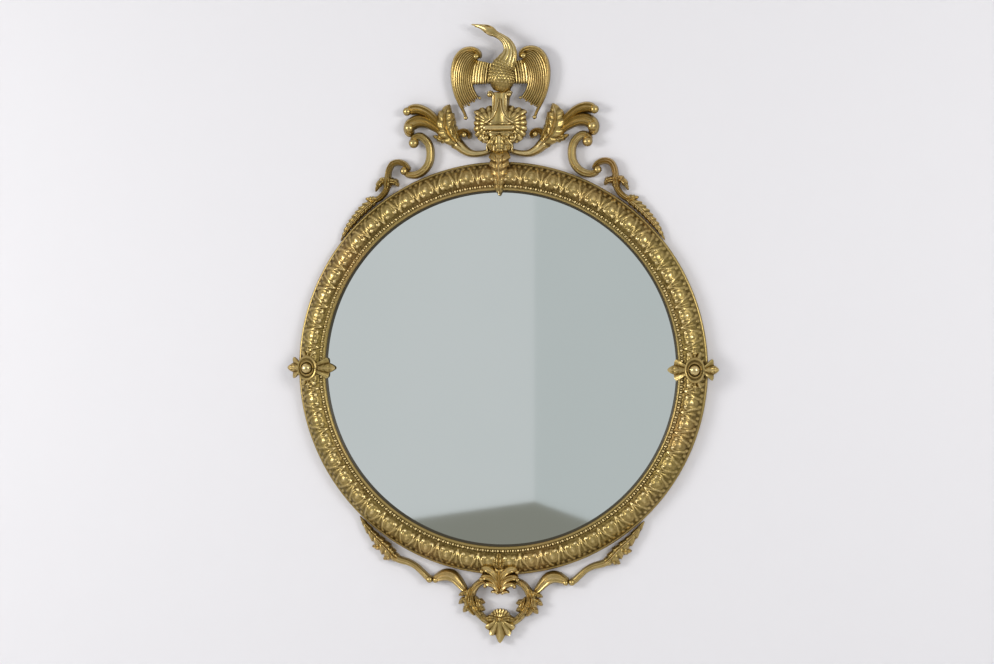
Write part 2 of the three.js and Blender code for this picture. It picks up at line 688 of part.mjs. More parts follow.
// Leaf arm: a stem out of the cartouche's foot that opens into an acanthus leaf.
function crestArm(side) {
  const stem = limb([
    [12, 17, 4, 8], [27, 14, 4.4, 9], [41, 15.5, 5.6, 10], [52, 25, 8, 12], [60, 37, 11.5, 14],
    [65, 49, 14.5, 15], [66.5, 61, 15, 14], [65.5, 73, 12, 12], [62.5, 83, 7.5, 9], [58, 91, 1, 4],
  ], { side, section: LEAF, bite: 0.14, perSpan: 1 });
  const outerTip = limb([[68, 40, 6, 11], [78, 46, 5.5, 10], [86, 53, 1, 5]], { ...TIP, side });
  const curl = limb([
    [58, 33, 4, 12], [55.5, 43.5, 5, 13], [49, 48.5, 5, 14], [42.5, 46, 4.4, 13], [41, 40, 3, 11],
  ], { side, perSpan: 1 });
  return joined([stem, outerTip, curl, knob(45.5, 43, 4, 11, { side }), ...armLobes(side)])
    .subtract(vase(FIT))
    .subtract(foot(FIT));
}

// C-scroll on the ring's edge, a small S-scroll and a serrated tail that hugs the ring.
function crestScroll(side) {
  const scroll = limb([
    [113, 53, 5, 11], [109, 58, 5.8, 12], [102, 59, 6.2, 12], [97, 52, 6.2, 11], [94.3, 43, 6.2, 11],
    [94.8, 34, 6.2, 11], [97.5, 25, 6.2, 11], [102.5, 16.5, 6.2, 11], [110, 10.5, 6.2, 11],
    [119.5, 8, 6, 11], [128.5, 9.5, 5.6, 10], [135, 14, 5, 10], [138.5, 20, 4.6, 10],
  ], { side, perSpan: 1 });
  const tail = limb([
    [131, 19, 3.6, 9], [133.5, 29.5, 4.6, 10], [140, 36.8, 4.9, 10], [148, 38.3, 4.9, 10],
    [155, 33.7, 4.9, 10], [161, 26.2, 5, 10], [166.5, 18.8, 5.4, 10], [171.5, 11.6, 5, 10],
    [180, 7.2, 4.7, 9], [192, 6.4, 5.4, 9], [205, 7, 9, 9, 0, 6], [221, 6.8, 8, 8, 0, 5.6],
    [236, 6, 7, 7, 0, 5], [251, 5, 5, 6, 0, 4], [272, 1.8, 1, 3],
  ], { side, bite: 0.12, perSpan: 1 });
  const tips = limbs([
    [[164, 24, 5, 9], [175, 24.5, 5, 8], [187, 17.5, 1, 4]],
    [[164, 20, 5, 9], [156, 13.5, 5.4, 9], [155.5, 5, 1.5, 5]],
    [[190, 7, 5, 8], [198, 12, 5, 8], [204, 19, 1, 4]],
  ], { ...TIP, side });
  const knobs = [knob(111, 51.5, 7.4, 7, { side }), knob(137.5, 20.5, 5.8, 7, { side })];
  return joined([scroll, tail, ...tips, ...knobs])
    .subtract(joined(armLobes(side, FIT)))
    .subtract(edgeCylinder())
    .add(radialStud((side * CREST_STUD_ALONG) / RING_RADIUS));
}

// ---------------------------------------------------------------- sides

// Cross-shaped leaf that straddles the ring, under the boss.
function sideLeaf(side, envelope) {
  const at = -SIDE_BOSS_AT;
  const crown = RING_DEPTH + 1;
  const options = { place: besideRing, side, lift: 0 };
  // Three lobes: waist, corner, notch and tip are places out from the ring's edge.
  const trefoil = (waist, corner, notch, tip) => [
    [-8, waist], [-14, corner], [-6, notch], [0, tip], [6, notch], [14, corner], [8, waist],
  ];
  const outer = fan([0, -10], trefoil(-2, 6.5, 10, 16), {
    ...options, back: EDGE_HEIGHT - 2, low: crown, high: 18, edge: EDGE_HEIGHT + 3,
  });
  const inner = fan([0, at], trefoil(-31, -44.5, -49.5, -57), {
    ...options, back: GLASS_LIFT + 1, low: crown, high: crown - 1, edge: crown - 6,
  });
  const arms = [-1, 1].map((way) => limb([
    [0, at, 8, 5, crown - 3], [way * 16, at, 6, 5, crown - 3], [way * 23, at, 7, 5, crown - 4],
    [way * 29, at, 1, 3, crown - 4],
  ], { ...options, section: LEAF, perSpan: 1 }));
  const onAxis = (lift) => atAngle((side * Math.PI) / 2, sideBossRadius, lift);
  const hub = rod(SIDE_BOSS_RADIUS - 1, onAxis(RING_DEPTH - 8), onAxis(sideHubLift), 12);
  const above = block(
    [-RING_RADIUS * 2, -RING_DEPTH * 3, -RING_FACE],
    [RING_RADIUS * 2, -sideHubLift, RING_FACE],
  );
  return joined([outer, inner, ...arms, hub])
    .subtract(envelope)
    .subtract(above)
    .subtract(hole(studHole, onAxis(0), onAxis(RING_DEPTH * 2)));
}

// Oval boss with a raised rim and a dome, and its stud, seated at lift 0.
function sideBoss() {
  const r = SIDE_BOSS_RADIUS;
  const h = SIDE_BOSS_HEIGHT;
  const studLength = sideHubLift + FIT - nutSeat + FIT + NUT_HEIGHT + STUD_PROUD;
  const rosette = turned([
    [0, 0], [r, 0], [r - 0.8, 3.6], [r - 3.6, 2.8], [r - 6.6, 5.2], [r - 8.4, h - 2.6], [r - 11, h - 0.5], [0, h],
  ], 12).scale([1, 1, SIDE_BOSS_STRETCH]);
  const stud = rod(STUD_RADIUS, new THREE.Vector3(0, studLength, 0), new THREE.Vector3(0, -h / 4, 0));
  return rosette.add(stud);
}

// ---------------------------------------------------------------- apron

// Palmette over the ring's bottom edge, in front of the loops.
function palmetteSolids(grow = 0) {
  const [crown, front] = [RING_DEPTH - 1, CAST_LIFT + 11];
  const core = limb([
    [0, -18, 4, 5, crown], [0, -8, 12, 8, crown - 5], [0, 2, 14, 15, EDGE_HEIGHT], [0, 12, 12, 18, CAST_LIFT],
    [0, 21, 9, 15, CAST_LIFT], [0, 27.5, 4, 10, CAST_LIFT],
  ], { place: belowRing, section: LEAF, lift: 0, grow, perSpan: 1 });
  const bud = limb(
    [[0, -14, 4, 5, crown], [0, -24, 5.5, 6, crown - 3], [0, -32, 2.4, 5, crown - 4]],
    { ...TIP, place: belowRing, lift: 0, grow },
  );
  const lobes = [
    [
      [5, -1, 3.6, 10, crown - 7], [12, -8, 4.6, 10, crown - 7], [20, -10.5, 4.4, 9, crown - 8],
      [26, -7, 3, 7, crown - 10],
    ],
    [[5, 8, 3.6, 10, front], [14, 2, 4.2, 10, front], [22, 1.8, 3.8, 9, front], [26.5, 5, 2.6, 7, front]],
    [[4, 17, 3.4, 8, front], [12, 11.5, 3.8, 8, front], [19, 12, 3.2, 7, front], [21.5, 16, 2, 5, front]],
  ];
  const pairs = [-1, 1].flatMap((side) => {
    const options = { place: belowRing, side, lift: 0, grow };
    return [...limbs(lobes, { ...options, perSpan: 1 }), knob(26, -5.5, 3.2, crown - 5, options)];
  });
  return [core, bud, ...pairs];
}

function apronPalmette(envelope) {
  const radius = RING_RADIUS - PALMETTE_STUD_AT;
  const stud = rod(
    STUD_RADIUS,
    atAngle(Math.PI, radius, nutSeat - FIT - NUT_HEIGHT - STUD_PROUD),
    atAngle(Math.PI, radius, RING_DEPTH + 2),
  );
  return joined(palmetteSolids()).subtract(envelope).add(stud);
}

// Pendant leaf with a small arched shell on top, in front of the loops' ends.
function pendantSolids(grow = 0) {
  const [mirrored, options] = [([x, out]) => [-x, out], { place: belowRing, grow }];
  const leaf = [[15, 61], [21, 65], [18.5, 70.5], [21, 76.5], [15.5, 79], [13, 87], [8, 87], [0, 99]];
  const shell = [[14, 67], [14.5, 61], [12.5, 58], [12, 54.5], [8.5, 53.5], [6, 51], [3, 51], [0, 49.5]];
  const whole = (half) => [...half, ...half.slice(0, -1).reverse().map(mirrored)];
  return [
    fan([0, 64], whole(leaf), { ...options, low: 14, high: 14, edge: 6, rib: 1.2 }),
    fan([0, 68], whole(shell), { ...options, low: 12, high: 14, edge: 9 }),
    knob(0, 65, 4, 12, options),
  ];
}

// Loop scroll of the apron with its outer and inner leaf tips.
function loopSolids(side, grow = 0) {
  const loop = limb([
    [4, 22, 3, 9], [10.5, 15, 3.8, 10], [19, 9.5, 4.2, 10], [29, 13.5, 4.6, 10], [36.5, 24, 5, 10],
    [38.5, 36, 5.2, 10], [34, 48, 5.2, 10], [25.5, 61, 4.8, 10], [15, 70.5, 4.2, 10], [5, 71, 2.4, 8],
  ], { place: onRimBottom, side, grow, perSpan: 1 });
  const options = { place: onRimBottom, side, grow };
  const outer = [
    [38, 28], [45, 28], [46.5, 34], [54.5, 39], [50, 45], [51, 52], [45, 53.5], [41, 59.5], [33, 57],
  ];
  const inner = [
    [34, 38], [28, 37], [25.5, 42], [20, 45], [22.5, 50], [19.5, 54], [24, 57.5], [24, 61], [31, 60],
  ];
  return [
    loop,
    fan([35, 42], outer, { ...options, low: 10, high: 10 }),
    fan([36, 48], inner, { ...options, low: 9, high: 9.5 }),
  ];
}

function apronLoop(side) {
  return joined(loopSolids(side))
    .subtract(joined(palmetteSolids(FIT)))
    .subtract(joined(pendantSolids(FIT)))
    .subtract(edgeCylinder());
}

// Apron scroll: leafy tail along the ring, slim stem, knuckle and fluted arch.
function apronScroll(side) {
  const options = { place: onRimBottom, side };
  const knuckle = KNUCKLE_ALONG;
  // A place at a share of the way from the knuckle to the stud.
  const at = (share) => knuckle + share * (APRON_STUD_ALONG - knuckle);
  const tail = limb([
    [at(1.75), 2.6, 1.2, 4], [at(1.57), 5.6, 5, 7, 0, 4.5], [at(1.37), 8.5, 8, 9, 0, 6],
    [at(1.16), 10.5, 10.5, 10, 0, 7.5], [at(0.98), 13, 12.5, 11, 0, 8.5], [at(0.82), 17, 9.5, 11, 0, 8],
    [at(0.67), 18.5, 5, 10],
  ], { ...options, section: LEAF, bite: 0.2, perSpan: 1 });
  const stem = limb([
    [at(0.88), 18.5, 5, 10], [at(0.68), 18.6, 5.4, 10], [at(0.49), 15.8, 4.8, 10], [at(0.33), 16.5, 4.4, 10],
    [at(0.17), 21, 4.6, 10], [knuckle + 4, 25.2, 5, 10], [knuckle - 4, 25.4, 4.6, 10],
  ], { ...options, perSpan: 1 });
  const arch = limb([
    [knuckle - 3, 25, 4.4, 10], [knuckle - 10, 18.5, 6.6, 11], [81, 13.2, 8.2, 12], [74, 11, 8.8, 12],
    [66, 12.6, 8.4, 12], [58, 18.5, 7, 11], [51, 25, 5.4, 10], [46, 29, 4, 9],
  ], { ...options, perSpan: 1 });
  const lobes = limbs([
    [[at(0.82), 15, 6, 10], [at(0.87), 23, 5.5, 10], [at(0.92), 31, 1, 5]],
    [[at(1.03), 14, 6, 10], [at(1.12), 19, 5.5, 9], [at(1.22), 24, 1, 4]],
  ], { ...options, ...TIP });
  const knobs = [knob(knuckle + 1, 26, 5.6, 6, options), knob(knuckle - 7, 24, 4.8, 6, options)];
  return joined([tail, stem, arch, ...lobes, ...knobs])
    .subtract(joined(loopSolids(side, FIT)))
    .subtract(edgeCylinder())
    .add(radialStud(Math.PI - (side * APRON_STUD_ALONG) / RING_RADIUS));
}

// ---------------------------------------------------------------- assembly

const group = new THREE.Group();
const centre = new THREE.Group();
centre.position.z = -rimRadius;
group.add(centre);

const envelope = ringEnvelope();
centre.add(piece('frame_ring', frameRing(), brass()));
centre.add(piece('mirror_plate', disc(glassRadius, GLASS_LIFT, GLASS_THICKNESS), mirror()));
centre.add(piece('packing_card', disc(glassRadius, cardLift, CARD_THICKNESS), card()));
centre.add(piece('backboard', disc(glassRadius, boardLift, BOARD_THICKNESS), board()));

buttonAngles.forEach((angle, i) => {
  const seat = new THREE.Group();
  seat.rotation.y = angle;
  const button = piece(`turn_button_${i + 1}`, turnButton(), brass());
  button.position.set(0, -buttonLift + BUTTON_THICKNESS, channelMiddle);
  const fixing = piece(`turn_button_screw_${i + 1}`, screw(SCREW_LENGTH), steel());
  fixing.position.set(0, -headLift, channelMiddle);
  seat.add(button, fixing);
  centre.add(seat);
});

const hanger = new THREE.Group();
hanger.position.set(0, -pivotLift, pivotRadius);
hanger.add(piece('hanger_strap', hangerStrap(), steel()));
hanger.add(piece('hanger_ring', hangerRing(), steel()));
STRAP_SCREWS.forEach((at, i) => {
  const fixing = piece(`hanger_screw_${i + 1}`, screw(SCREW_LENGTH), steel());
  fixing.position.set(0, -WIRE_RADIUS, at);
  hanger.add(fixing);
});
centre.add(hanger);

centre.add(piece('crest_cartouche', crestCartouche(), brass()));
centre.add(piece('crest_drop', crestDrop(envelope), brass()));
centre.add(piece('bird_body', bird(), brass()));
for (const [side, hand] of [[1, 'right'], [-1, 'left']]) {
  centre.add(piece(`bird_wing_${hand}`, wing(side), brass()));
  centre.add(piece(`crest_arm_${hand}`, crestArm(side), brass()));
  centre.add(piece(`crest_scroll_${hand}`, crestScroll(side), brass()));
  centre.add(piece(`side_leaf_${hand}`, sideLeaf(side, envelope), brass()));
  const boss = piece(`side_boss_${hand}`, sideBoss(), brass());
  boss.position.set(side * sideBossRadius, -sideHubLift - FIT, 0);
  centre.add(boss);
  centre.add(piece(`apron_loop_${hand}`, apronLoop(side), brass()));
  centre.add(piece(`apron_scroll_${hand}`, apronScroll(side), brass()));
}
centre.add(piece('apron_palmette', apronPalmette(envelope), brass()));
centre.add(piece('apron_pendant', joined(pendantSolids()), brass()));

for (const [name, angle] of Object.entries(radialStuds)) {
  const seat = new THREE.Group();
  seat.rotation.y = angle;
  const fixing = piece(`${name}_nut`, nut(), brass());
  fixing.rotation.x = -Math.PI / 2;
  fixing.position.set(0, -STUD_LIFT, nutRadius);
  seat.add(fixing);
  centre.add(seat);
}
for (const [name, [angle, radius]] of Object.entries(frontStuds)) {
  const fixing = piece(`${name}_nut`, nut(), brass());
  fixing.position.copy(atAngle(angle, radius, nutSeat - FIT));
  centre.add(fixing);
}

export default group;
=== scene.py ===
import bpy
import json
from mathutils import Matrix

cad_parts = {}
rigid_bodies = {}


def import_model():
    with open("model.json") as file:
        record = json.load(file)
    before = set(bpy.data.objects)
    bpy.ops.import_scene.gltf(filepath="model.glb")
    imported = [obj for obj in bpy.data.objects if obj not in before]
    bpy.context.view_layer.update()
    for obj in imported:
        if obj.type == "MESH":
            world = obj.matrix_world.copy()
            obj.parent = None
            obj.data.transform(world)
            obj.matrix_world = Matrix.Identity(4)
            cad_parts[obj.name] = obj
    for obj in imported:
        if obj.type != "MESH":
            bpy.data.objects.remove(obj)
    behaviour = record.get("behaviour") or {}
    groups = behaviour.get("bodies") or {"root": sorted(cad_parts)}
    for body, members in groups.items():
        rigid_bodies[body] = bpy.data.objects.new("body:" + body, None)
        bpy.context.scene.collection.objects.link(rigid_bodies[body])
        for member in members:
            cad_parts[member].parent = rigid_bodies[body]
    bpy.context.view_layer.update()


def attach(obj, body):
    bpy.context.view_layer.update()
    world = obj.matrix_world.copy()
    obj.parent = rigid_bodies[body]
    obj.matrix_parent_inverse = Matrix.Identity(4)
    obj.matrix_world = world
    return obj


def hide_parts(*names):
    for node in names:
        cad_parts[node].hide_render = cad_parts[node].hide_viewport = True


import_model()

# Studio and camera. The mirror hangs on a pale wall over a pale floor, seen from a little to its
# right and level with it. The room it reflects is the world: two pale walls that meet in an
# upright corner, over a grey floor. The wall shows no back, and lets light through to the mirror's
# back: all of it behind the ring, and elsewhere what leaves a surface close to the wall.
import json
import math

import bmesh
import bpy
import numpy as np
from mathutils import Vector

MM = 0.001
RING_CENTRE = -297.0  # height of the ring's centre in the frame, mm
WALL_Y = 0.0015  # the wall's place behind the mirror's back, m
WALL_OPENING = 0.285  # radius of the hole in the wall that the ring hides, m
CLOSE = 0.008  # a surface nearer the wall than this gets light through it, m


class Number:
    """A shader number. Python's arithmetic on it adds Math nodes."""

    def __init__(self, paint, socket):
        self.paint, self.socket = paint, socket

    def math(self, operation, *values):
        node = self.paint.node("Math", {"operation": operation}, dict(enumerate(values)))
        return Number(self.paint, node.outputs[0])

    def __rsub__(self, other):
        return self.math("SUBTRACT", other, self)

    def held(self, low, high):
        """The share of the way from low to high, kept in 0 to 1."""
        span = self.paint.node("MapRange", {}, {0: self, 1: low, 2: high})
        return Number(self.paint, span.outputs[0])


OPERATIONS = {
    "add": "ADD", "radd": "ADD", "sub": "SUBTRACT", "mul": "MULTIPLY", "rmul": "MULTIPLY", "truediv": "DIVIDE",
    "pow": "POWER", "lt": "LESS_THAN", "gt": "GREATER_THAN",
}
for sign, operation in OPERATIONS.items():
    setattr(Number, f"__{sign}__", lambda self, other, operation=operation: self.math(operation, self, other))


class Paint:
    """The node tree of a material or of the world. One method makes every node."""

    def __init__(self, owner):
        owner.use_nodes = True
        self.owner, self.tree = owner, owner.node_tree
        self.tree.nodes.clear()

    def node(self, kind, settings=None, sockets=None):
        node = self.tree.nodes.new("ShaderNode" + kind)
        for key, value in (settings or {}).items():
            setattr(node, key, value)
        for key, value in (sockets or {}).items():
            entry = node.inputs[key]
            if isinstance(value, Number):
                self.tree.links.new(value.socket, entry)
            elif isinstance(value, bpy.types.NodeSocket):
                self.tree.links.new(value, entry)
            elif entry.type == "RGBA":
                entry.default_value = (*value, 1)
            else:
                entry.default_value = value
        return node

    def number(self, kind, output, settings=None, sockets=None):
        return Number(self, self.node(kind, settings, sockets).outputs[output])

    def blend(self, share, first, second):
        """One colour into another by a share."""
        mix = self.node("Mix", {"data_type": "RGBA"}, {0: share, 6: first, 7: second})
        return mix.outputs[2]

    def finish(self, shader, kind="OutputMaterial"):
        self.node(kind, {}, {"Surface": shader})
        return self.owner


def placed_object(name, data):
    """A new object in the scene."""
    holder = bpy.data.objects.new(name, data)
    scene.collection.objects.link(holder)
    return holder


scene = bpy.context.scene
scene.view_settings.view_transform = "Standard"

world = Paint(bpy.data.worlds.new("room"))
scene.world = world.owner
way = world.node("SeparateXYZ", {}, {0: world.node("TexCoord").outputs["Generated"]})
east, north, up = (Number(world, way.outputs[i]) for i in range(3))
CORNER = 0.131  # where the two walls of the room meet, as a slope from straight ahead
slope = east / north
level = (1 - up * up) ** 0.5
left_wall = slope > CORNER
aside = slope - CORNER
far = aside.math("ABSOLUTE", aside)
floor_line = (far * (0.35 - left_wall * 0.21) + 0.103) * -1
on_floor = (up / level < floor_line) * (north < 0)
walls = world.blend(left_wall, (0.60, 0.645, 0.645), (0.69, 0.725, 0.73))
seen_room = world.blend(on_floor, walls, (0.28, 0.285, 0.245))
overhead = up.held(-0.5, 0.9)
light_room = world.blend(overhead, (0.34, 0.33, 0.32), (0.86, 0.86, 0.88))
rays = world.node("LightPath")
is_glossy = Number(world, rays.outputs["Is Glossy Ray"])
is_camera = Number(world, rays.outputs["Is Camera Ray"])
room = world.blend(is_glossy * (north < 0) * (level > 0.9), light_room, seen_room)
room = world.blend(is_camera, room, (0.76, 0.76, 0.78))
world.finish(world.node("Background", {}, {0: room, 1: 0.8}).outputs[0], "OutputWorld")

wall_paint = Paint(bpy.data.materials.new("wall"))
wall_skin = wall_paint.node("BsdfDiffuse", {}, {"Color": (0.775, 0.765, 0.785)})
through = wall_paint.node("BsdfTransparent")
behind = wall_paint.number("NewGeometry", "Backfacing")
spot = wall_paint.node("TexCoord").outputs["Object"]
ring_middle = (0, WALL_Y, RING_CENTRE * MM)
from_ring = wall_paint.number("VectorMath", "Value", {"operation": "DISTANCE"}, {0: spot, 1: ring_middle})
path = wall_paint.node("LightPath")
is_shadow, ray_length = (Number(wall_paint, path.outputs[key]) for key in ("Is Shadow Ray", "Ray Length"))
open_here = (behind + (from_ring < WALL_OPENING) + is_shadow * (ray_length < CLOSE)) > 0.5
wall_mix = wall_paint.node("MixShader", {}, {0: open_here, 1: wall_skin.outputs[0], 2: through.outputs[0]})
wall_paint.finish(wall_mix.outputs[0])
floor_paint = Paint(bpy.data.materials.new("floor"))
floor_skin = floor_paint.node("BsdfDiffuse", {}, {"Color": (0.72, 0.72, 0.71)})
floor_paint.finish(floor_skin.outputs[0])


def backdrop(name, corners, paint):
    """A flat sheet of the studio, from its four corners in metres."""
    mesh = bpy.data.meshes.new(name)
    mesh.from_pydata(corners, [], [(0, 1, 2, 3)])
    mesh.materials.append(paint.owner)
    placed_object(name, mesh)


FLOOR = -1.55
backdrop("wall", [(-4, WALL_Y, FLOOR), (4, WALL_Y, FLOOR), (4, WALL_Y, 3), (-4, WALL_Y, 3)], wall_paint)
backdrop("floor", [(-4, -4, FLOOR), (4, -4, FLOOR), (4, 4, FLOOR), (-4, 4, FLOOR)], floor_paint)


def lamp(name, place, aim, size, watts):
    """A soft box at a place, turned towards an aim."""
    light = bpy.data.lights.new(name, "AREA")
    light.shape, light.size, light.energy = "DISK", size, watts
    holder = placed_object(name, light)
    holder.location = place
    holder.rotation_euler = (Vector(aim) - Vector(place)).to_track_quat("-Z", "Y").to_euler()


lamp("left_box", (-1.9, -1.65, 0.0), (0, 0, -0.3), 0.9, 27)
lamp("right_box", (1.75, -1.85, 0.15), (0, 0, -0.3), 0.9, 22.5)
lamp("back_box", (0.6, 2.4, 0.9), (0, 0, -0.3), 1.6, 14)

VIEW_AIM = Vector((-0.0063, 0, -0.244))
VIEW_YAW, VIEW_RISE, VIEW_REACH = math.radians(8.5), math.radians(1.2), 3.015
optics = bpy.data.cameras.new("camera")
optics.lens, optics.sensor_width = 75, 36
camera = placed_object("camera", optics)
sight = Vector((math.sin(VIEW_YAW), -math.cos(VIEW_YAW), math.tan(VIEW_RISE))).normalized()
camera.location = VIEW_AIM + sight * VIEW_REACH
camera.rotation_euler = (-sight).to_track_quat("-Z", "Y").to_euler()
scene.camera = camera

# Cast brass. All castings are one alloy, cast in sand, chased, and lacquered long ago: warm
# yellow-brown, bright on high places where it is rubbed, with a painted highlight there too, dark
# olive where dirt has stayed in the hollows, with painted shade there too, and a little redder in
# patches. The mesh attribute relief is 0 in a hollow, 1 on a high place and below 0 at the ring's
# inner lip, where near-black painted shade with some dirt lies on the slope down to the glass. The
# pieces also set it lower between parts and towards the wall, as painted shade, and higher on fronts,
# as painted light.
# The hollow colour is dirt with painted shade, the rubbed colour is wear with a painted highlight, and the
# near-black colour is painted shade with some dirt.
HOLLOW, BODY, WORN_AND_HIGHLIGHT = (0.075, 0.045, 0.009), (0.53, 0.385, 0.145), (0.86, 0.69, 0.36)
REDDISH, OLIVE, GRIME_AND_SHADE = (0.46, 0.245, 0.09), (0.28, 0.225, 0.06), (0.035, 0.028, 0.012)


def brass_paint(name, dirt=1.0, grain=1.0, chase=0.25):
    """Cast brass by relief, broken up by noise: hollows dark with dirt and painted shade, plain slopes, heights
    bright with wear and a painted highlight, and near-black painted shade with some dirt below zero.
    """
    paint = Paint(bpy.data.materials.new(name))
    place = paint.node("TexCoord").outputs["Object"]

    def noise(scale, detail=3.0):
        sockets = {"Vector": place, "Scale": scale, "Detail": detail, "Roughness": 0.55}
        return paint.number("TexNoise", 0, {}, sockets)

    relief = paint.number("Attribute", 2, {"attribute_name": "relief"})
    patches, mottle, chasing, grit = noise(9.0), noise(110.0), noise(420.0, 2.0), noise(900.0, 2.0)
    broken = relief + (mottle - 0.5) * 0.3 + (chasing - 0.5) * chase
    height = broken.held(0.0, 0.8)
    # Hollows are dark with dirt and painted shade; heights are bright with wear and a painted highlight.
    hollows_and_body = paint.blend(height ** 0.8, HOLLOW, BODY)
    worn_and_highlight = broken.held(0.72, 1.1)
    bright = paint.blend(worn_and_highlight, hollows_and_body, WORN_AND_HIGHLIGHT)
    reddened = paint.blend(patches.held(0.52, 0.72) * 0.35, bright, REDDISH)
    olive = paint.blend(patches.held(0.5, 0.28) * 0.3 * dirt, reddened, OLIVE)
    # Near-black painted shade with some dirt where relief is below zero, at the ring's inner lip; it also makes the
    # surface less metallic.
    grime_and_shade = relief.held(-0.05, -0.25)
    dull = paint.blend(grime_and_shade, olive, GRIME_AND_SHADE)
    rough = 0.47 - height * 0.17 + (grit - 0.5) * 0.16 * grain
    rise = mottle * 0.5 + grit * 0.2 + chasing * chase * 2
    bump = paint.node("Bump", {}, {"Strength": 0.35 * grain, "Distance": 0.0008, "Height": rise})
    skin = paint.node("BsdfPrincipled", {}, {
        "Base Color": dull, "Metallic": 1 - grime_and_shade * 0.8, "Roughness": rough, "Normal": bump.outputs[0],
    })
    return paint.finish(skin.outputs[0])


BRASS = brass_paint("cast_brass")
RUBBED = brass_paint("rubbed_brass", 0.5, 0.4, 0.1)
CHASED = brass_paint("chased_brass", 1.2, 1.0, 0.65)

# The ring. One open-backed brass casting, 600 mm across: a plain fillet at its outer edge, a band
# of 56 three-ribbed leaves between shells, a row of 224 beads with reels between and a lip that holds
# the glass. Behind are a rabbet for the glass and six posts.
RING, UNITS = 300.0, 56
LEDGE, RABBET, RABBET_OUTER, WALL_INNER, BACK_LIFT = 15.3, 261.5, 266.0, 294.0, 6.2
HALF_UNIT, CARVING = 15.8, 0.8  # half the width in which a repeat is drawn, and the share of its height kept
BEADS, BEAD_RING, BEAD_LIFT = 448, 264.4, 20.2  # beads and reels in turn
BEAD_ALONG, BEAD_OUT, BEAD_RISE = (2.2, 0.95), (2.6, 2.1), (2.6, 1.7)  # half sizes of a bead and of a reel
POST_RING, POST = 269.7, 5.0


def spread(x, lift, z):
    """Points from arrays of x, lift and height that are brought to one shape."""
    return np.stack(np.broadcast_arrays(x, lift, z), -1)


def shell(grid, relief, wrap=(False, True)):
    """Quads between the neighbours of a grid of points, closed round where wrap says so."""
    rows, cols = grid.shape[:2]
    i = np.arange(rows if wrap[0] else rows - 1)[:, None]
    j = np.arange(cols if wrap[1] else cols - 1)[None, :]
    down, over = (i + 1) % rows * cols, (j + 1) % cols
    quads = np.stack([i * cols + j, i * cols + over, down + over, down + j], -1).reshape(-1, 4)
    return grid.reshape(-1, 3), quads, np.broadcast_to(relief, (rows, cols)).reshape(-1)


def outwards(points, quads):
    """Quads turned so that the volume that they close is above zero."""
    a, b, c, d = (points[quads[:, k]] for k in range(4))
    volume = (a * np.cross(b, c)).sum() + (a * np.cross(c, d)).sum()
    return quads if volume > 0 else quads[:, ::-1]


def metal(name, shells, replaces, paint=None, sharp=42):
    """A brass piece from closed shells, each of points (x, lift, height from the ring's centre) in mm."""
    points, faces, relief, first = [], [], [], 0
    for corners, quads, heights in shells:
        framed = np.stack([corners[:, 0], -corners[:, 1], corners[:, 2] + RING_CENTRE], 1) * MM
        faces.append(outwards(framed, quads) + first)
        points.append(framed)
        relief.append(heights)
        first += len(framed)
    points, faces, relief = np.concatenate(points), np.concatenate(faces), np.concatenate(relief)
    mesh = bpy.data.meshes.new(name)
    mesh.vertices.add(len(points))
    mesh.vertices.foreach_set("co", points.astype(np.float32).ravel())
    mesh.loops.add(faces.size)
    mesh.loops.foreach_set("vertex_index", faces.astype(np.int32).ravel())
    mesh.polygons.add(len(faces))
    mesh.polygons.foreach_set("loop_start", np.arange(0, faces.size, 4, dtype=np.int32))
    mesh.update(calc_edges=True)
    mesh.attributes.new("relief", "FLOAT", "POINT").data.foreach_set("value", relief.astype(np.float32))
    work = bmesh.new()
    work.from_mesh(mesh)
    bmesh.ops.remove_doubles(work, verts=work.verts, dist=2e-6)
    work.to_mesh(mesh)
    work.free()
    mesh.validate()
    mesh.shade_smooth()
    mesh.set_sharp_from_angle(angle=math.radians(sharp))
    mesh.materials.append(paint or BRASS)
    piece = placed_object(name, mesh)
    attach(piece, "root")
    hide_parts(replaces)


def round_ring(angle, radius, lift):
    """Points at a turn from the ring's top, a radius and a lift from the wall."""
    return spread(radius * np.sin(angle), lift, radius * np.cos(angle))


def bell(value, width):
    """A smooth hump: 1 at zero, fallen to a third at the width."""
    return np.exp(-((value / width) ** 2))


def near(x, y, course):
    """Distance from points to a bent line, and the share of the line's length that is nearest."""
    course = np.asarray(course, float)
    legs = np.linalg.norm(np.diff(course, axis=0), axis=1)
    start = np.concatenate([[0], np.cumsum(legs)])
    best, share = np.full(x.shape, 1e9), np.zeros(x.shape)
    for a, b, leg, before in zip(course[:-1], course[1:], legs, start):
        t = np.clip(((x - a[0]) * (b[0] - a[0]) + (y - a[1]) * (b[1] - a[1])) / leg**2, 0, 1)
        distance = np.hypot(x - a[0] - t * (b[0] - a[0]), y - a[1] - t * (b[1] - a[1]))
        closer = distance < best
        share = np.where(closer, (before + t * leg) / start[-1], share)
        best = np.minimum(best, distance)
    return best, share


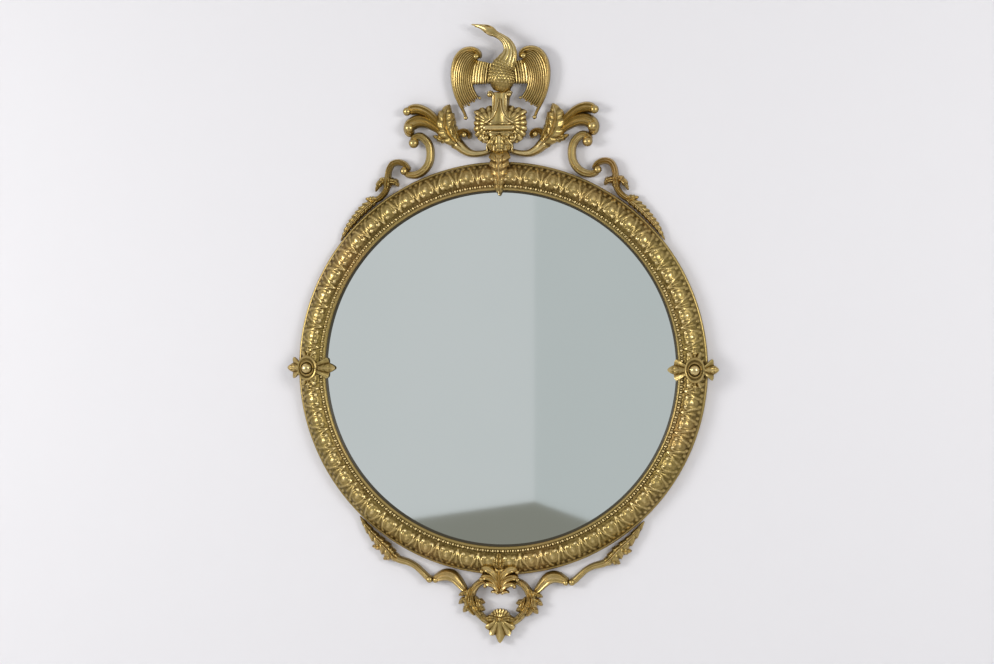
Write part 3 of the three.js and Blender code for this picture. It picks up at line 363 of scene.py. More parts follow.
def band_relief(x, y):
    """Height of the carving in mm over one repeat: x from the leaf's axis, y out from the beads.
    Three ribs rise from a knob and spread; beside them lies half of a shell with a rolled edge that
    ends in a bulb, and small tips stand along the outer edge with dark notches between them."""
    x = np.abs(x)
    height = np.full(x.shape, -1.1)
    for course, wide in (
        ([(0, 3), (0, 22)], 1.5),
        ([(0.6, 3), (2.4, 9), (5.2, 15), (8.6, 21), (9.6, 25)], 1.7),
    ):
        distance, share = near(x, y, course)
        girth = wide * (0.55 + 0.75 * share)
        rib = np.sqrt(np.clip(1 - (distance / girth) ** 2, 0, 1)) * (2.3 - 0.7 * share)
        height = np.maximum(height, rib - 0.9)
    web = np.clip(1 - x / (0.5 + 0.42 * y), 0, 1) * (y > 3) * (y < 24)
    height = np.maximum(height, -0.75 + 0.5 * web)
    out = np.hypot((x - HALF_UNIT) / 8.8, (y - 13.5) / 11.0)
    flute = 0.2 * np.cos(16 * np.arctan2(x - HALF_UNIT, y + 1)) * np.clip(1.1 - out, 0, 0.5) * 2
    dome = 2.0 * np.sqrt(np.clip(1 - out**2, 0, 1)) - 0.6 * bell(out - 0.55, 0.12) - 0.9 + flute
    height = np.maximum(height, dome)
    distance, share = near(x, y, [(9.3, 24), (7.4, 18), (6.2, 12.5), (6.3, 8.0), (8.0, 5.2)])
    roll = np.sqrt(np.clip(1 - (distance / (0.7 + 0.6 * share)) ** 2, 0, 1)) * 1.9
    height = np.maximum(height, roll - 0.6)
    bulb = np.sqrt(np.clip(1 - np.hypot(x - 9.4, y - 6.8) ** 2 / 2.5**2, 0, 1)) * 2.9
    height = np.maximum(height, bulb - 0.8)
    knob = np.sqrt(np.clip(1 - (x / 2.0) ** 2 - ((y - 2.6) / 2.3) ** 2, 0, 1)) * 2.5
    height = np.maximum(height, knob - 0.9)
    for across in (4.2, 11.9):
        tip = 1 - ((x - across) / 2.6) ** 2 - ((y - 27.4) / 2.6) ** 2
        height = np.maximum(height, 2.0 * np.sqrt(np.clip(tip, 0, 1)) - 1.0)
    notch = bell(np.hypot(x, (y - 27.3) * 1.2), 1.7) + bell(np.hypot(x - HALF_UNIT, (y - 27.3) * 1.2), 1.7)
    height = height - 0.8 * notch
    edge = np.clip(y / 2.0, 0, 1) * np.clip((30.6 - y) / 1.6, 0, 1)
    return -0.4 + (height + 0.4) * edge


BAND_IN, BAND_OUT = 266.9, 297.0
across_band = np.linspace(0, 1, 38)
turns = np.linspace(0, 2 * math.pi, UNITS * 40, endpoint=False)
band_profile = np.array([
    (263.7, 19.6), (266.7, 20.0), (269, 21.7), (273, 24.1), (278, 25.1), (283, 23.9), (288, 20.9),
    (293, 16.2), (297, 11.2), (300, 8.0),
])
radius = BAND_IN + (BAND_OUT - BAND_IN) * across_band
level_lift = np.interp(radius, band_profile[:, 0], band_profile[:, 1])
level_lift = np.convolve(np.pad(level_lift, 2, "edge"), np.ones(5) / 5, "valid")
unit_turn = 2 * math.pi / UNITS
local = (turns + unit_turn / 2) % unit_turn - unit_turn / 2
across_unit, out_of_band = np.meshgrid(local / unit_turn * 2 * HALF_UNIT, radius - BAND_IN, indexing="ij")
carving = band_relief(across_unit, out_of_band)
front = round_ring(turns[:, None], radius[None, :], level_lift[None, :] + carving * CARVING)
rear = round_ring(turns[:, None], radius[None, [-1, 0]], level_lift[None, [-1, 0]] - 4)
# The band's colour follows its carving: hollows dark with dirt and painted shade, heights bright with wear and a
# painted highlight.
band_dirt_and_shade = np.clip((carving + 1.1) / 2.6, 0, 1) ** 1.4
band = shell(np.concatenate([front, rear], 1), np.concatenate([band_dirt_and_shade, 0 * rear[..., 0]], 1), (True, True))
metal("ring_band", [band], "frame_ring", paint=CHASED)

# Plain parts of the ring's section, wall side and all, as [radius, lift] points.
rim_section = np.array([
    (300.0, 0.6), (300.0, 4.0), (300.0, 7.4), (299.7, 8.6), (299.0, 9.4), (298.0, 9.9), (297.2, 9.9),
    (296.4, 9.0), (292.0, 13.0), (283.0, 19.0), (272.0, 19.8), (267.6, 19.6), (266.4, 19.9),
    (265.5, 20.3), (263.7, 20.3), (261.9, 20.2), (260.9, 20.6), (260.0, 20.3), (259.2, 18.9),
    (257.8, 17.6), (256.2, 16.9), (255.0, 16.0), (255.3, LEDGE), (RABBET, LEDGE),
    (RABBET, BACK_LIFT + 0.4), (RABBET + 0.4, BACK_LIFT), (RABBET_OUTER - 0.4, BACK_LIFT),
    (RABBET_OUTER, BACK_LIFT + 0.4), (RABBET_OUTER, 16.6), (267.2, 17.6), (278.0, 18.4),
    (290.0, 15.0), (WALL_INNER - 0.8, 12.6), (WALL_INNER, 11.4), (WALL_INNER, 0.4),
    (WALL_INNER + 0.4, 0.0), (299.4, 0.0),
])
rim_turns = np.linspace(0, 2 * math.pi, 448, endpoint=False)[:, None]
rim = round_ring(rim_turns, rim_section[None, :, 0], rim_section[None, :, 1])
# Colour along the rim's section: the inner lip's slope down to the glass is below zero, near-black painted shade
# with some dirt; the lip's top and the outer wall are lighter, as painted light.
rim_dirt_and_shade = np.interp(
    np.arange(len(rim_section)), [0, 6, 8, 12, 15, 16, 18, 19, 23, 24],
    [0.4, 0.5, 0.1, 0.1, 0.1, 0.6, 0.6, -0.3, -0.3, 0.1],
)


def turned(profile, centre, sides, relief):
    """A turned solid whose axis points away from the wall, from [radius, lift] points round it."""
    radius, lift = np.array(profile, float).T
    angle = np.linspace(0, 2 * math.pi, sides, endpoint=False)[:, None]
    x, z = centre
    is_tube = bool(radius[0] > 0)
    return shell(spread(x + radius * np.cos(angle), lift, z + radius * np.sin(angle)), relief, (True, is_tube))


def on_ring(angle, radius):
    return radius * math.sin(angle), radius * math.cos(angle)


button_turns = [(i + 0.5) * math.pi / 3 for i in range(6)]
posts = [
    turned([(1.9, 16.0), (1.9, BACK_LIFT), (POST - 0.4, BACK_LIFT), (POST, BACK_LIFT + 0.4), (POST, 19)],
           on_ring(angle, POST_RING), 24, 0.4)
    for angle in button_turns
]
metal("ring_rim", [shell(rim, rim_dirt_and_shade, (True, True)), *posts], "frame_ring")

bead_turns = (np.arange(BEADS) + 0.5) * 2 * math.pi / BEADS
bead_rows = np.radians([90, 62, 36, 12, -14])[:, None]
bead_sides = np.arange(8)[None, :] * math.pi / 4
beads = []
for i, angle in enumerate(bead_turns):
    x, z = on_ring(angle, BEAD_RING)
    along, outward = BEAD_ALONG[i % 2] * np.cos(bead_sides), BEAD_OUT[i % 2] * np.sin(bead_sides)
    placed = spread(
        x + np.cos(bead_rows) * (along * math.cos(angle) + outward * math.sin(angle)),
        BEAD_LIFT + BEAD_RISE[i % 2] * np.sin(bead_rows),
        z + np.cos(bead_rows) * (outward * math.cos(angle) - along * math.sin(angle)),
    )
    placed = np.concatenate([placed, np.broadcast_to(placed[-1].mean(0), (1, 8, 3))])
    # Each bead is bright on its top and dark at its base: painted highlight and painted shade.
    beads.append(shell(placed, np.array([1, 0.95, 0.7, 0.2, 0, 0])[:, None]))
metal("ring_beads", beads, "frame_ring", sharp=80)

# The castings round the ring are modelled from limbs (bars and scrolls that run along a bent line),
# leaves (limbs with lobes and veins), fans (lobes that spread from a root), plates and bulbs.
# Their stations are [along, out, half width, rise, forward, other half width] in mm: along and out
# bend round the ring's edge, rise is the thickness in front, forward moves it off the wall.
CAST_LIFT, CARTOUCHE_TOP = 3.0, 101


def rim_top(along, out):
    return (RING + out) * np.sin(along / RING), (RING + out) * np.cos(along / RING)


def rim_bottom(along, out):
    x, z = rim_top(along, out)
    return x, -z


def above_ring(x, out):
    return x, RING + out


def above_cartouche(x, out):
    return x, RING + CARTOUCHE_TOP + out


def below_ring(x, out):
    return x, -RING - out


def beside_ring(along, out):
    return RING + out, along


class Course:
    """A smooth line through stations, cut at even steps, with what a section needs at each cut.
    It is a cubic whose slope at a station is the mean of its two neighbouring chords' slopes."""

    def __init__(self, stations, place, side, lift, step, nose=(None, None)):
        # A station may leave out its forward, which is then 0, and its other half width.
        full = np.array([list(row) + [0.0, row[2]][len(row) - 4:] for row in stations], float)
        x, z = place(full[:, 0], full[:, 1])
        knots = np.stack([side * x, lift + full[:, 4], z, full[:, 2], full[:, 5], full[:, 3]], 1)
        gap = np.sqrt(np.linalg.norm(np.diff(knots[:, :3], axis=0), axis=1))
        when = np.concatenate([[0], np.cumsum(gap)])
        chord = np.diff(knots, axis=0) / gap[:, None]
        slope = np.empty_like(knots)
        share = (gap[:-1] / (gap[:-1] + gap[1:]))[:, None]
        slope[1:-1] = chord[:-1] * (1 - share) + chord[1:] * share
        slope[0] = 1.5 * chord[0] - 0.5 * slope[1] if len(knots) > 2 else chord[0]
        slope[-1] = 1.5 * chord[-1] - 0.5 * slope[-2] if len(knots) > 2 else chord[-1]

        def at(t):
            k = np.clip(np.searchsorted(when, t, side="right") - 1, 0, len(gap) - 1)
            s, g = ((t - when[k]) / gap[k])[:, None], gap[k][:, None]
            return (
                (2 * s**3 - 3 * s**2 + 1) * knots[k] + (s**3 - 2 * s**2 + s) * g * slope[k]
                + (3 * s**2 - 2 * s**3) * knots[k + 1] + (s**3 - s**2) * g * slope[k + 1]
            )

        fine_when = np.linspace(0, when[-1], 60 * len(knots))
        fine = at(fine_when)
        run = np.concatenate([[0], np.cumsum(np.linalg.norm(np.diff(fine[:, :3], axis=0), axis=1))])
        total = run[-1]
        ends = np.array([0, 0.03, 0.12, 0.27, 0.47, 0.72, 1.0])
        first, last = (
            min(width if radius is None else radius, total / 3) for width, radius in zip(fine[[0, -1], 3], nose)
        )
        middle = np.linspace(first, total - last, max(3, int((total - first - last) / step)))
        self.along = np.unique(np.concatenate([ends * first, middle, total - ends * last]).clip(0, total).round(5))
        rows = at(np.interp(self.along, run, fine_when))
        self.centre, self.left, self.right, self.rise = rows[:, :3], rows[:, 3], rows[:, 4], rows[:, 5]
        flat = np.gradient(self.centre[:, [0, 2]], self.along, axis=0)
        flat /= np.linalg.norm(flat, axis=1)[:, None] + 1e-12
        none = np.zeros(len(flat))
        self.heading = np.stack([flat[:, 0], none, flat[:, 1]], 1)
        self.across = side * np.stack([-flat[:, 1], none, flat[:, 0]], 1)
        self.share = np.clip(self.along / total, 0, 1)
        from_start = np.clip(self.along / max(first, 1e-6), 0, 1)
        from_end = np.clip((total - self.along) / max(last, 1e-6), 0, 1)
        self.blunt = np.sqrt(1 - (1 - from_start) ** 2) * np.sqrt(1 - (1 - from_end) ** 2)

    def skin(self, across, up, ahead=0.0):
        """Points at shares of the half width across and of the rise in front."""
        reach = across * np.where(across > 0, self.left[:, None], self.right[:, None])
        spot = self.centre[:, None] + self.across[:, None] * (reach * self.blunt[:, None])[..., None]
        spot = spot + self.heading[:, None] * (np.zeros_like(reach) + ahead)[..., None]
        spot[..., 1] += up * (self.rise * self.blunt)[:, None]
        return spot


def limb(stations, place=rim_top, side=1, lift=CAST_LIFT, sides=30, full=0.75, flutes=0, depth=0.3, step=1.5,
         nose=(None, None)):
    """A bar along a line, rounded in front and flat behind, with blunt ends. Its front is
    sin(angle) to a power; flutes carve depth times a cosine across it."""
    course = Course(stations, place, side, lift, step, nose)
    angle = np.linspace(0, 2 * math.pi, sides, endpoint=False) + math.pi / sides
    across = np.cos(angle)
    up = np.clip(np.sin(angle), 0, 1) ** full
    turn = math.pi if flutes % 2 == 0 else 0
    wave = 0.5 + 0.5 * np.cos(math.pi * flutes * across + turn) if flutes else np.ones(sides)
    carved = up * (1 - depth * (1 - wave))
    rows = np.ones(len(course.along))[:, None]
    # Colour is bright on the bar's front and flute crests and dark in the flutes and on the sides by the wall: wear
    # and dirt with painted highlight and painted shade.
    relief = np.clip(0.12 + 0.5 * up + 0.3 * up * wave, 0, 1)
    return shell(course.skin(across * rows, carved * rows), relief * rows)


LEAF_EDGE = 0.3  # height of a leaf's edge as a share of its middle's


def leaf(stations, place=rim_top, side=1, lift=CAST_LIFT, lobes=4, bite=0.22, sweep=0.5, vein=0.12, rib=0.12,
         curl=0.0, hollow=0.0, start=0.0):
    """An acanthus leaf along a line. Each lobe widens to a point and steps back at a notch. The rows
    are bent ahead towards the edges, a narrow valley runs from the middle rib to each notch, two
    fine grooves lie between valleys, curl turns the edges up and hollow dishes the blade."""
    course = Course(stations, place, side, lift, 0.8)
    front = np.sin(np.linspace(1, -1, 35) * math.pi / 2)
    across = np.concatenate([front, np.linspace(-0.97, 0.97, 9)])
    on_front = np.arange(len(across)) < len(front)
    edge_share = np.abs(across)
    phase = ((lobes * course.share + start) % 1.0)[:, None]
    tooth = np.clip(phase / 0.8, 0, 1) ** 0.6 * np.clip((1 - phase) / 0.2, 0, 1) ** 0.5
    valley = bell(np.minimum(phase, 1 - phase), 0.14) * np.clip(edge_share * 4 - 0.3, 0, 1)
    groove = (0.5 - 0.5 * np.cos(6 * math.pi * phase)) * np.clip(edge_share * 3 - 0.6, 0, 1)
    half = np.where(across > 0, course.left[:, None], course.right[:, None])
    ahead = sweep * half * edge_share**1.4 * (1 - course.share[:, None]) ** 0.5 * course.blunt[:, None]
    reach = across * (1 - bite * (1 - tooth) * edge_share**2)
    swell = ((1 - edge_share**2.6) * (1 - LEAF_EDGE) + LEAF_EDGE) * (1 - hollow * bell(edge_share - 0.5, 0.3))
    middle = rib * bell(across, 0.08) - rib * 0.7 * bell(edge_share - 0.2, 0.08)
    height = swell * (1 - vein * valley - 0.035 * groove) + middle + curl * edge_share**3 * tooth
    # Colour is dark in valleys and grooves and bright on the middle rib and tooth edges: dirt and wear with painted
    # shade and painted highlight.
    relief = 0.72 - 0.55 * valley - 0.22 * groove + middle * 2.4 + 0.2 * edge_share**6 * tooth
    relief = np.clip(np.where(on_front, relief, 0.2), 0, 1)
    return shell(course.skin(reach, np.where(on_front, height, 0), ahead), relief)


def bulb(x, out, radius, forward=8.0, place=rim_top, side=1, squash=1.0, lift=CAST_LIFT):
    """A round knob whose middle is forward of the lift: the eye of a rolled end."""
    rows = np.linspace(0, math.pi, 13)[:, None]
    sides = np.linspace(0, 2 * math.pi, 22, endpoint=False)[None, :]
    middle_x, middle_z = place(np.float64(x), np.float64(out))
    grid = spread(
        side * middle_x + radius * np.sin(rows) * np.cos(sides),
        lift + forward + radius * squash * np.cos(rows),
        middle_z + radius * np.sin(rows) * np.sin(sides),
    )
    # A bulb's front is bright and its back by the wall dark: wear with a painted highlight, and painted shade.
    return shell(grid, np.clip(0.1 + 0.7 * np.cos(rows), 0.02, 1))


def plate(front, back, relief):
    """A closed slab between two grids of points of one shape."""
    loop = np.concatenate([front, back[:, ::-1]], 1)
    skin = shell(loop, np.concatenate([relief, 0 * relief], 1))
    caps = []
    for row in (0, -1):
        ends = np.stack([front[row], back[row]])
        caps.append(shell(ends, np.stack([relief[row], 0 * relief[row]]), (False, False)))
    points = np.concatenate([skin[0], caps[0][0], caps[1][0]])
    second = caps[0][1][:, ::-1] + len(skin[0])
    third = caps[1][1] + len(skin[0]) + len(caps[0][0])
    return points, np.concatenate([skin[1], second, third]), np.concatenate([skin[2], caps[0][2], caps[1][2]])


def fan(root, notches, tips, place=above_ring, side=1, low=4.0, high=12.0, edge=5.0, ridge=1.5, point=0.8,
        back=1.0, crown=1.6, steps=18, rim=0.0, curl=1.0):
    """Lobes that spread from a root, each between two notches and out to its tip. Along a ray the
    front rises from low to high and falls to edge; across a lobe it swells by ridge; a groove of
    depth rim follows the outline and the tips turn up by curl."""
    def placed(points):
        points = np.asarray(points, float)
        x, z = place(points[..., 0], points[..., 1])
        return np.stack([side * x, z], -1)

    notches, tips, root = placed(notches), placed(tips), placed(root)
    across = np.linspace(0, 1, 13)
    outline, swell = [], []
    for i, tip in enumerate(tips):
        w = across[(0 if i == 0 else 1):]
        base = notches[i] + (notches[i + 1] - notches[i]) * w[:, None]
        hump = np.sin(math.pi * w)
        outline.append(base + (tip - (notches[i] + notches[i + 1]) / 2) * (hump**point)[:, None])
        swell.append(0.5 * hump + 0.5 * (1 - bell(np.minimum(w, 1 - w), 0.1)) + 0.15 * bell(w - 0.5, 0.06))
    outline, swell = np.concatenate(outline), np.concatenate(swell)
    s = np.linspace(0, 1, steps)[None, :]
    flat = root + (outline[:, None] - root) * s[..., None]
    fall = np.clip((s - 0.35) / 0.65, 0, 1) ** crown
    height = low + (high - low) * np.clip(s * 2.2, 0, 1) ** 0.8 * (1 - fall) + (edge - low) * fall
    height = height + ridge * (swell[:, None] - 0.7) * np.clip((s - 0.12) / 0.5, 0, 1)
    height = height - rim * bell(s - 0.74, 0.05) + curl * np.clip((s - 0.8) / 0.2, 0, 1) * swell[:, None]
    front = spread(flat[..., 0], CAST_LIFT + height, flat[..., 1])
    rear = spread(flat[..., 0], CAST_LIFT + np.minimum(height - 1.2, back), flat[..., 1])
    # Colour is bright on swelling lobes and dark at notches, in the groove and on the back: wear and dirt with
    # painted highlight and painted shade.
    relief = 0.2 + 0.5 * swell[:, None] + 0.1 * s - 0.25 * np.sign(rim) * bell(s - 0.74, 0.05)
    return plate(front, rear, relief)


def both(make):
    """A casting's shells for its right and its left side."""
    return make(1) + make(-1)


HANDS = ((1, "right"), (-1, "left"))


def pair(name, make, replaces):
    """A right and a left piece, each in place of the node of its hand."""
    for side, hand in HANDS:
        metal(f"{name}_{hand}", make(side), f"{replaces}_{hand}")


def mirrored(points):
    """Points on the right, from the outside in to the middle, and the same on the left."""
    middle = points[-1][0] == 0
    return points + [(-x, out) for x, out in reversed(points[:-1] if middle else points)]


# The cartouche under the bird: a vase-shaped brass casting with a fluted shell on each side, a
# polished torus bar, two pairs of volutes and a leafy foot, bolted through the ring's outer wall.
VASE = [
    [0, 14, 16, 15], [0, 26, 18.5, 17], [0, 37, 22, 19], [0, 48, 25, 20.5], [0, 59, 22, 20.5], [0, 70, 16, 20],
    [0, 81, 12.6, 17], [0, 91, 13.2, 15], [0, 101, 16, 14],
]
SHELL_NOTCHES = [
    (13, 81), (21.5, 77), (31.5, 76), (36, 68), (36.8, 60.5), (37.3, 52), (36.4, 43), (33.4, 35), (27, 28.8),
    (19, 27),
]
SHELL_TIPS = [
    (18, 80.5), (27, 78.5), (38.3, 73), (37.5, 64.5), (38.6, 56.5), (38.8, 47.5), (37, 39), (31.5, 31.5), (24, 27),
]


def cartouche_side(side):
    at = {"place": above_ring, "side": side}
    return [
        fan((11, 54), SHELL_NOTCHES, SHELL_TIPS, low=17, high=18, edge=7, ridge=0.6, point=0.8, steps=26,
            rim=0.8, **at),
        leaf([[3, 38, 3.5, 4, 16], [9, 33, 5.5, 5, 14.5], [13, 25, 5.5, 5, 13], [12, 15, 2, 4, 11]], lobes=3, **at),
        limb([[16.5, 28, 1.4, 6, 11], [18.5, 22, 1.6, 6, 10], [17.5, 13, 1.4, 6, 9]], **at),
    ]


def cartouche_trim(side):
    at = {"place": above_ring, "side": side}
    return [
        limb([[0.9, 91, 1.0, 3, 14], [2.4, 81, 1.4, 4, 15.5], [5.2, 71, 1.8, 5, 17.5], [10.5, 62, 2.0, 5, 18],
              [22, 54.8, 1.6, 4, 15.5]], **at),
        limb([[9.5, 71, 1.3, 5, 13.5], [9.6, 80, 1.7, 6, 11], [9.6, 90, 2.0, 7, 9.5], [10, 97, 2.3, 7, 9.5],
              [14, 100.6, 2.2, 7, 9.5], [18, 98, 1.9, 6, 9.5]], **at),
        bulb(14.2, 96.3, 3.9, 16, **at),
        limb([[22.5, 41, 2.2, 7, 11], [23.3, 34, 2.5, 8, 11], [19, 29, 2.5, 8, 11], [15, 31, 2.0, 7, 11]], **at),
        bulb(18.6, 34.0, 4.0, 17.5, **at),
    ]


metal("cartouche", [
    limb(VASE, above_ring, sides=60, full=0.42, flutes=2, depth=0.12, nose=(2, 2)),
    leaf([[0, 40, 5, 4, 17], [0, 32, 8, 5, 16], [0, 22, 7.5, 6, 14], [0, 11, 5, 4, 13]], above_ring, lobes=4),
    *both(cartouche_side),
], "crest_cartouche")
metal("cartouche_trim", [
    limb([[-25, 48.2, 5.0, 8.5, 17], [0, 48.2, 5.2, 9, 17.5], [25, 48.2, 5.0, 8.5, 17]], above_ring, full=1.0),
    limb([[-21, 55.2, 1.0, 3, 17.5], [0, 55.8, 1.1, 3, 18.5], [21, 55.2, 1.0, 3, 17.5]], above_ring),
    limb([[-22, 41.2, 1.2, 4, 15.5], [0, 41.2, 1.4, 4, 17.5], [22, 41.2, 1.2, 4, 15.5]], above_ring),
    *both(cartouche_trim),
], "crest_cartouche", paint=RUBBED)

# The acanthus drop: a brass leaf that hangs from the cartouche's foot over the band to the glass.
# Its lobes lie in nested V shapes.
metal("drop", [
    leaf([[0, 15, 14, 9, 12], [0, 4, 16, 13, 12], [0, -6, 15.5, 14, 15], [0, -16, 13, 10, 20.5],
          [0, -28, 9.8, 8, 21.5], [0, -40, 6.6, 7, 19.5], [0, -50, 1.4, 4, 18.5]], above_ring, lift=0, lobes=6,
         bite=0.2, sweep=-0.5, vein=0.2, rib=0.14, start=0.3),
    leaf([[0, 12, 6, 7, 19], [0, 2, 7, 7, 22], [0, -10, 5, 5, 24.5], [0, -20, 1.4, 3, 25]], above_ring, lift=0,
         lobes=4, bite=0.25, sweep=-0.6, vein=0.25),
], "crest_drop")

# The bird: one brass casting of body, neck and head, pegged into the cartouche. The breast is
# chased with scales, the neck is fluted, the eye and the mouth are cut in.
BIRD = [
    [0, -0.6, 11, 14, 1], [2, 9, 17.6, 23.5, 1], [3, 21, 20, 28.5, 1], [5.5, 33, 18.2, 27.5, 2],
    [10.5, 43, 14.3, 22.5, 4], [14.5, 52, 11, 18.3, 6], [15, 61, 8.7, 15, 8], [11, 70, 6.8, 12.5, 10],
    [3.5, 77, 5, 11, 11], [-5, 82, 4.8, 10.6, 11], [-12, 86.3, 6.8, 12, 10.5], [-19, 90.2, 6.2, 12, 10.5],
    [-25.5, 92.8, 4.0, 8.4, 12.5], [-32, 94.8, 2.3, 4.8, 14], [-41, 96.8, 0.7, 1.6, 15.5],
]


def bird_skin():
    """A round tube along the bird, swollen by scales on the breast, by flutes on the neck."""
    course = Course(BIRD, above_cartouche, 1, CAST_LIFT, 0.7)
    foot = course.share < 0.12
    course.blunt[foot] = np.interp(course.share[foot], [0, 0.004, 0.12], [0, 0.9, 1])
    angle = np.linspace(0, 2 * math.pi, 120, endpoint=False)[None, :]
    share, along = course.share[:, None], course.along[:, None]
    row = along / 4.2
    stagger = np.floor(row) % 2 * math.pi / 2
    scale = np.abs(np.cos(angle * 10 + stagger)) ** 0.6 * (1 - row % 1) ** 0.7
    breast = np.clip((0.36 - share) / 0.06, 0, 1)
    throat = np.clip((share - 0.29) / 0.08, 0, 1) * np.clip((0.74 - share) / 0.1, 0, 1)
    flute = np.abs(np.cos(angle * 6 + 3 * share)) ** 0.8
    head = np.clip((share - 0.74) / 0.04, 0, 1)
    swell = breast * (scale - 0.5) * 0.11 + throat * (flute - 0.5) * 0.13
    grid = course.skin(np.cos(angle) * (1 + swell), 0.5 + 0.5 * np.sin(angle) * (1 + swell))
    # Colour is lighter towards the front and darker on the side towards the wall, as painted light and shade, and
    # follows the scales and flutes, as dirt and wear with painted shade.
    relief = 0.42 + 0.25 * np.sin(angle) + breast * (scale - 0.5) * 0.8 + throat * (flute - 0.5) * 0.8 + 0.15 * head
    return shell(grid, np.clip(relief, 0, 1))


FACE = {"place": above_cartouche, "step": 0.8}
metal("bird", [
    bird_skin(),
    bulb(-18, 92.2, 1.3, 21.8, above_cartouche, squash=0.7),
    limb([[-22.5, 92.4, 0.4, 1.6, 20.6], [-19, 94.6, 0.6, 2.0, 20.6], [-14.5, 94.2, 0.6, 2.0, 20.6],
          [-11, 91.5, 0.4, 1.4, 20.6]], **FACE),
    limb([[-8, 81, 1.2, 7, 14], [-13, 81.6, 2.2, 9, 13], [-19, 85.6, 1.4, 8, 13]], **FACE),
    limb([[-21, 88.2, 0.8, 6, 14], [-28, 91.4, 0.9, 5, 14], [-36, 93.6, 0.5, 2.4, 14.5]], **FACE),
], "bird_body", sharp=60)

# The wings: two brass castings, soldered to the bird's sides. Long feathers arch from the rolled
# wrist over the top and down the outer side, short ones hang between wrist and body.
WING_LIFT = 9.0
LONG_FEATHERS = [(33, 46), (41, 35), (47, 11), (30, -8.5)], [(35, 58.5), (60, 77), (87, 16), (53.5, -24)]
SHORT_FEATHERS = [(7, 39), (9, 31), (10, 22), (11, 11.5)], [(36, 46), (40, 36), (42, 23), (41.5, 10.5)]


def cubic(controls, s):
    """Points of a cubic through four controls: controls are [4, ..., 2], s is a share."""
    weights = [(1 - s) ** 3, 3 * s * (1 - s) ** 2, 3 * s**2 * (1 - s), s**3]
    return sum(w[..., None] * c for w, c in zip(weights, controls))


def feathers(side, lines, count, thickness, belly):
    """A slab of feathers between an inner and an outer line. Each swells across, has a quill and
    ends in a round tip that turns up."""
    inner, outer = np.array(lines, float)
    across = np.linspace(0, 1, count * 10 + 1)[None, :]
    s = np.linspace(0, 1, 46)[:, None]
    hump = np.abs(np.sin(math.pi * count * across))
    controls = [a + (b - a) * across[..., None] for a, b in zip(inner, outer)]
    flat = cubic(controls, s * (1 - 0.05 * (1 - hump**0.6)))
    x, z = above_cartouche(flat[..., 0], flat[..., 1])
    quill = bell((across * count) % 1 - 0.5, 0.08)
    tip = 1.2 * np.clip((s - 0.9) / 0.1, 0, 1) ** 2 * hump
    height = thickness + belly * np.sin(math.pi * across) * (1 - 0.5 * s) + 1.3 * (hump**0.7 - 0.4) + 0.3 * quill
    front = spread(side * x, WING_LIFT + height + tip, z)
    rear = spread(side * x, WING_LIFT, z)
    # Colour is bright on each feather's swell and quill and dark in the gaps between feathers and on the back:
    # painted shade and highlight with dirt and wear.
    return plate(front, rear, np.clip(0.05 + 0.7 * hump**0.7 + 0.15 * quill + 0 * s, 0, 1))


def wing(side):
    at = {"place": above_cartouche, "side": side}
    edge = limb([
        [30.5, 48.5, 2.6, 9, 6], [30.5, 55, 3.8, 10, 6], [36, 60.2, 4.2, 10, 6], [45, 62.2, 4.2, 8, 6],
        [56, 59, 4.0, 7, 6], [64.5, 49.5, 3.8, 7, 6], [69, 35, 3.6, 6.5, 6], [69.2, 16, 3.3, 6, 6],
        [64.8, -4, 3.0, 5.5, 6], [57.3, -21, 2.6, 5, 6], [52.3, -31, 2.2, 4.5, 6], [50.3, -38, 2.2, 4.5, 6],
    ], flutes=2, depth=0.25, **at)
    return [
        feathers(side, LONG_FEATHERS, 9, 4.0, 3.0), feathers(side, SHORT_FEATHERS, 8, 4.6, 3.4), edge,
        bulb(34.3, 51, 4.7, 12, **at), bulb(50.3, -37.3, 3.1, 9, **at), bulb(30.0, -8.8, 2.3, 9, **at),
        bulb(38.5, -13.5, 1.8, 9, **at), bulb(45.5, -18.5, 1.8, 9, **at),
        limb([[10, 36, 2.6, 5, 9], [21, 34, 3.2, 5, 9], [31, 38, 3.2, 5, 9], [35, 47, 2.6, 5, 9]], flutes=3,
             depth=0.35, **at),
    ]


pair("wing", wing, "bird_wing")

# The leaf arms: two brass castings out of the cartouche's foot. A smooth stem opens into an
# acanthus leaf with a rolled lobe inside, and two fluted lobes roll over outwards into knobs.


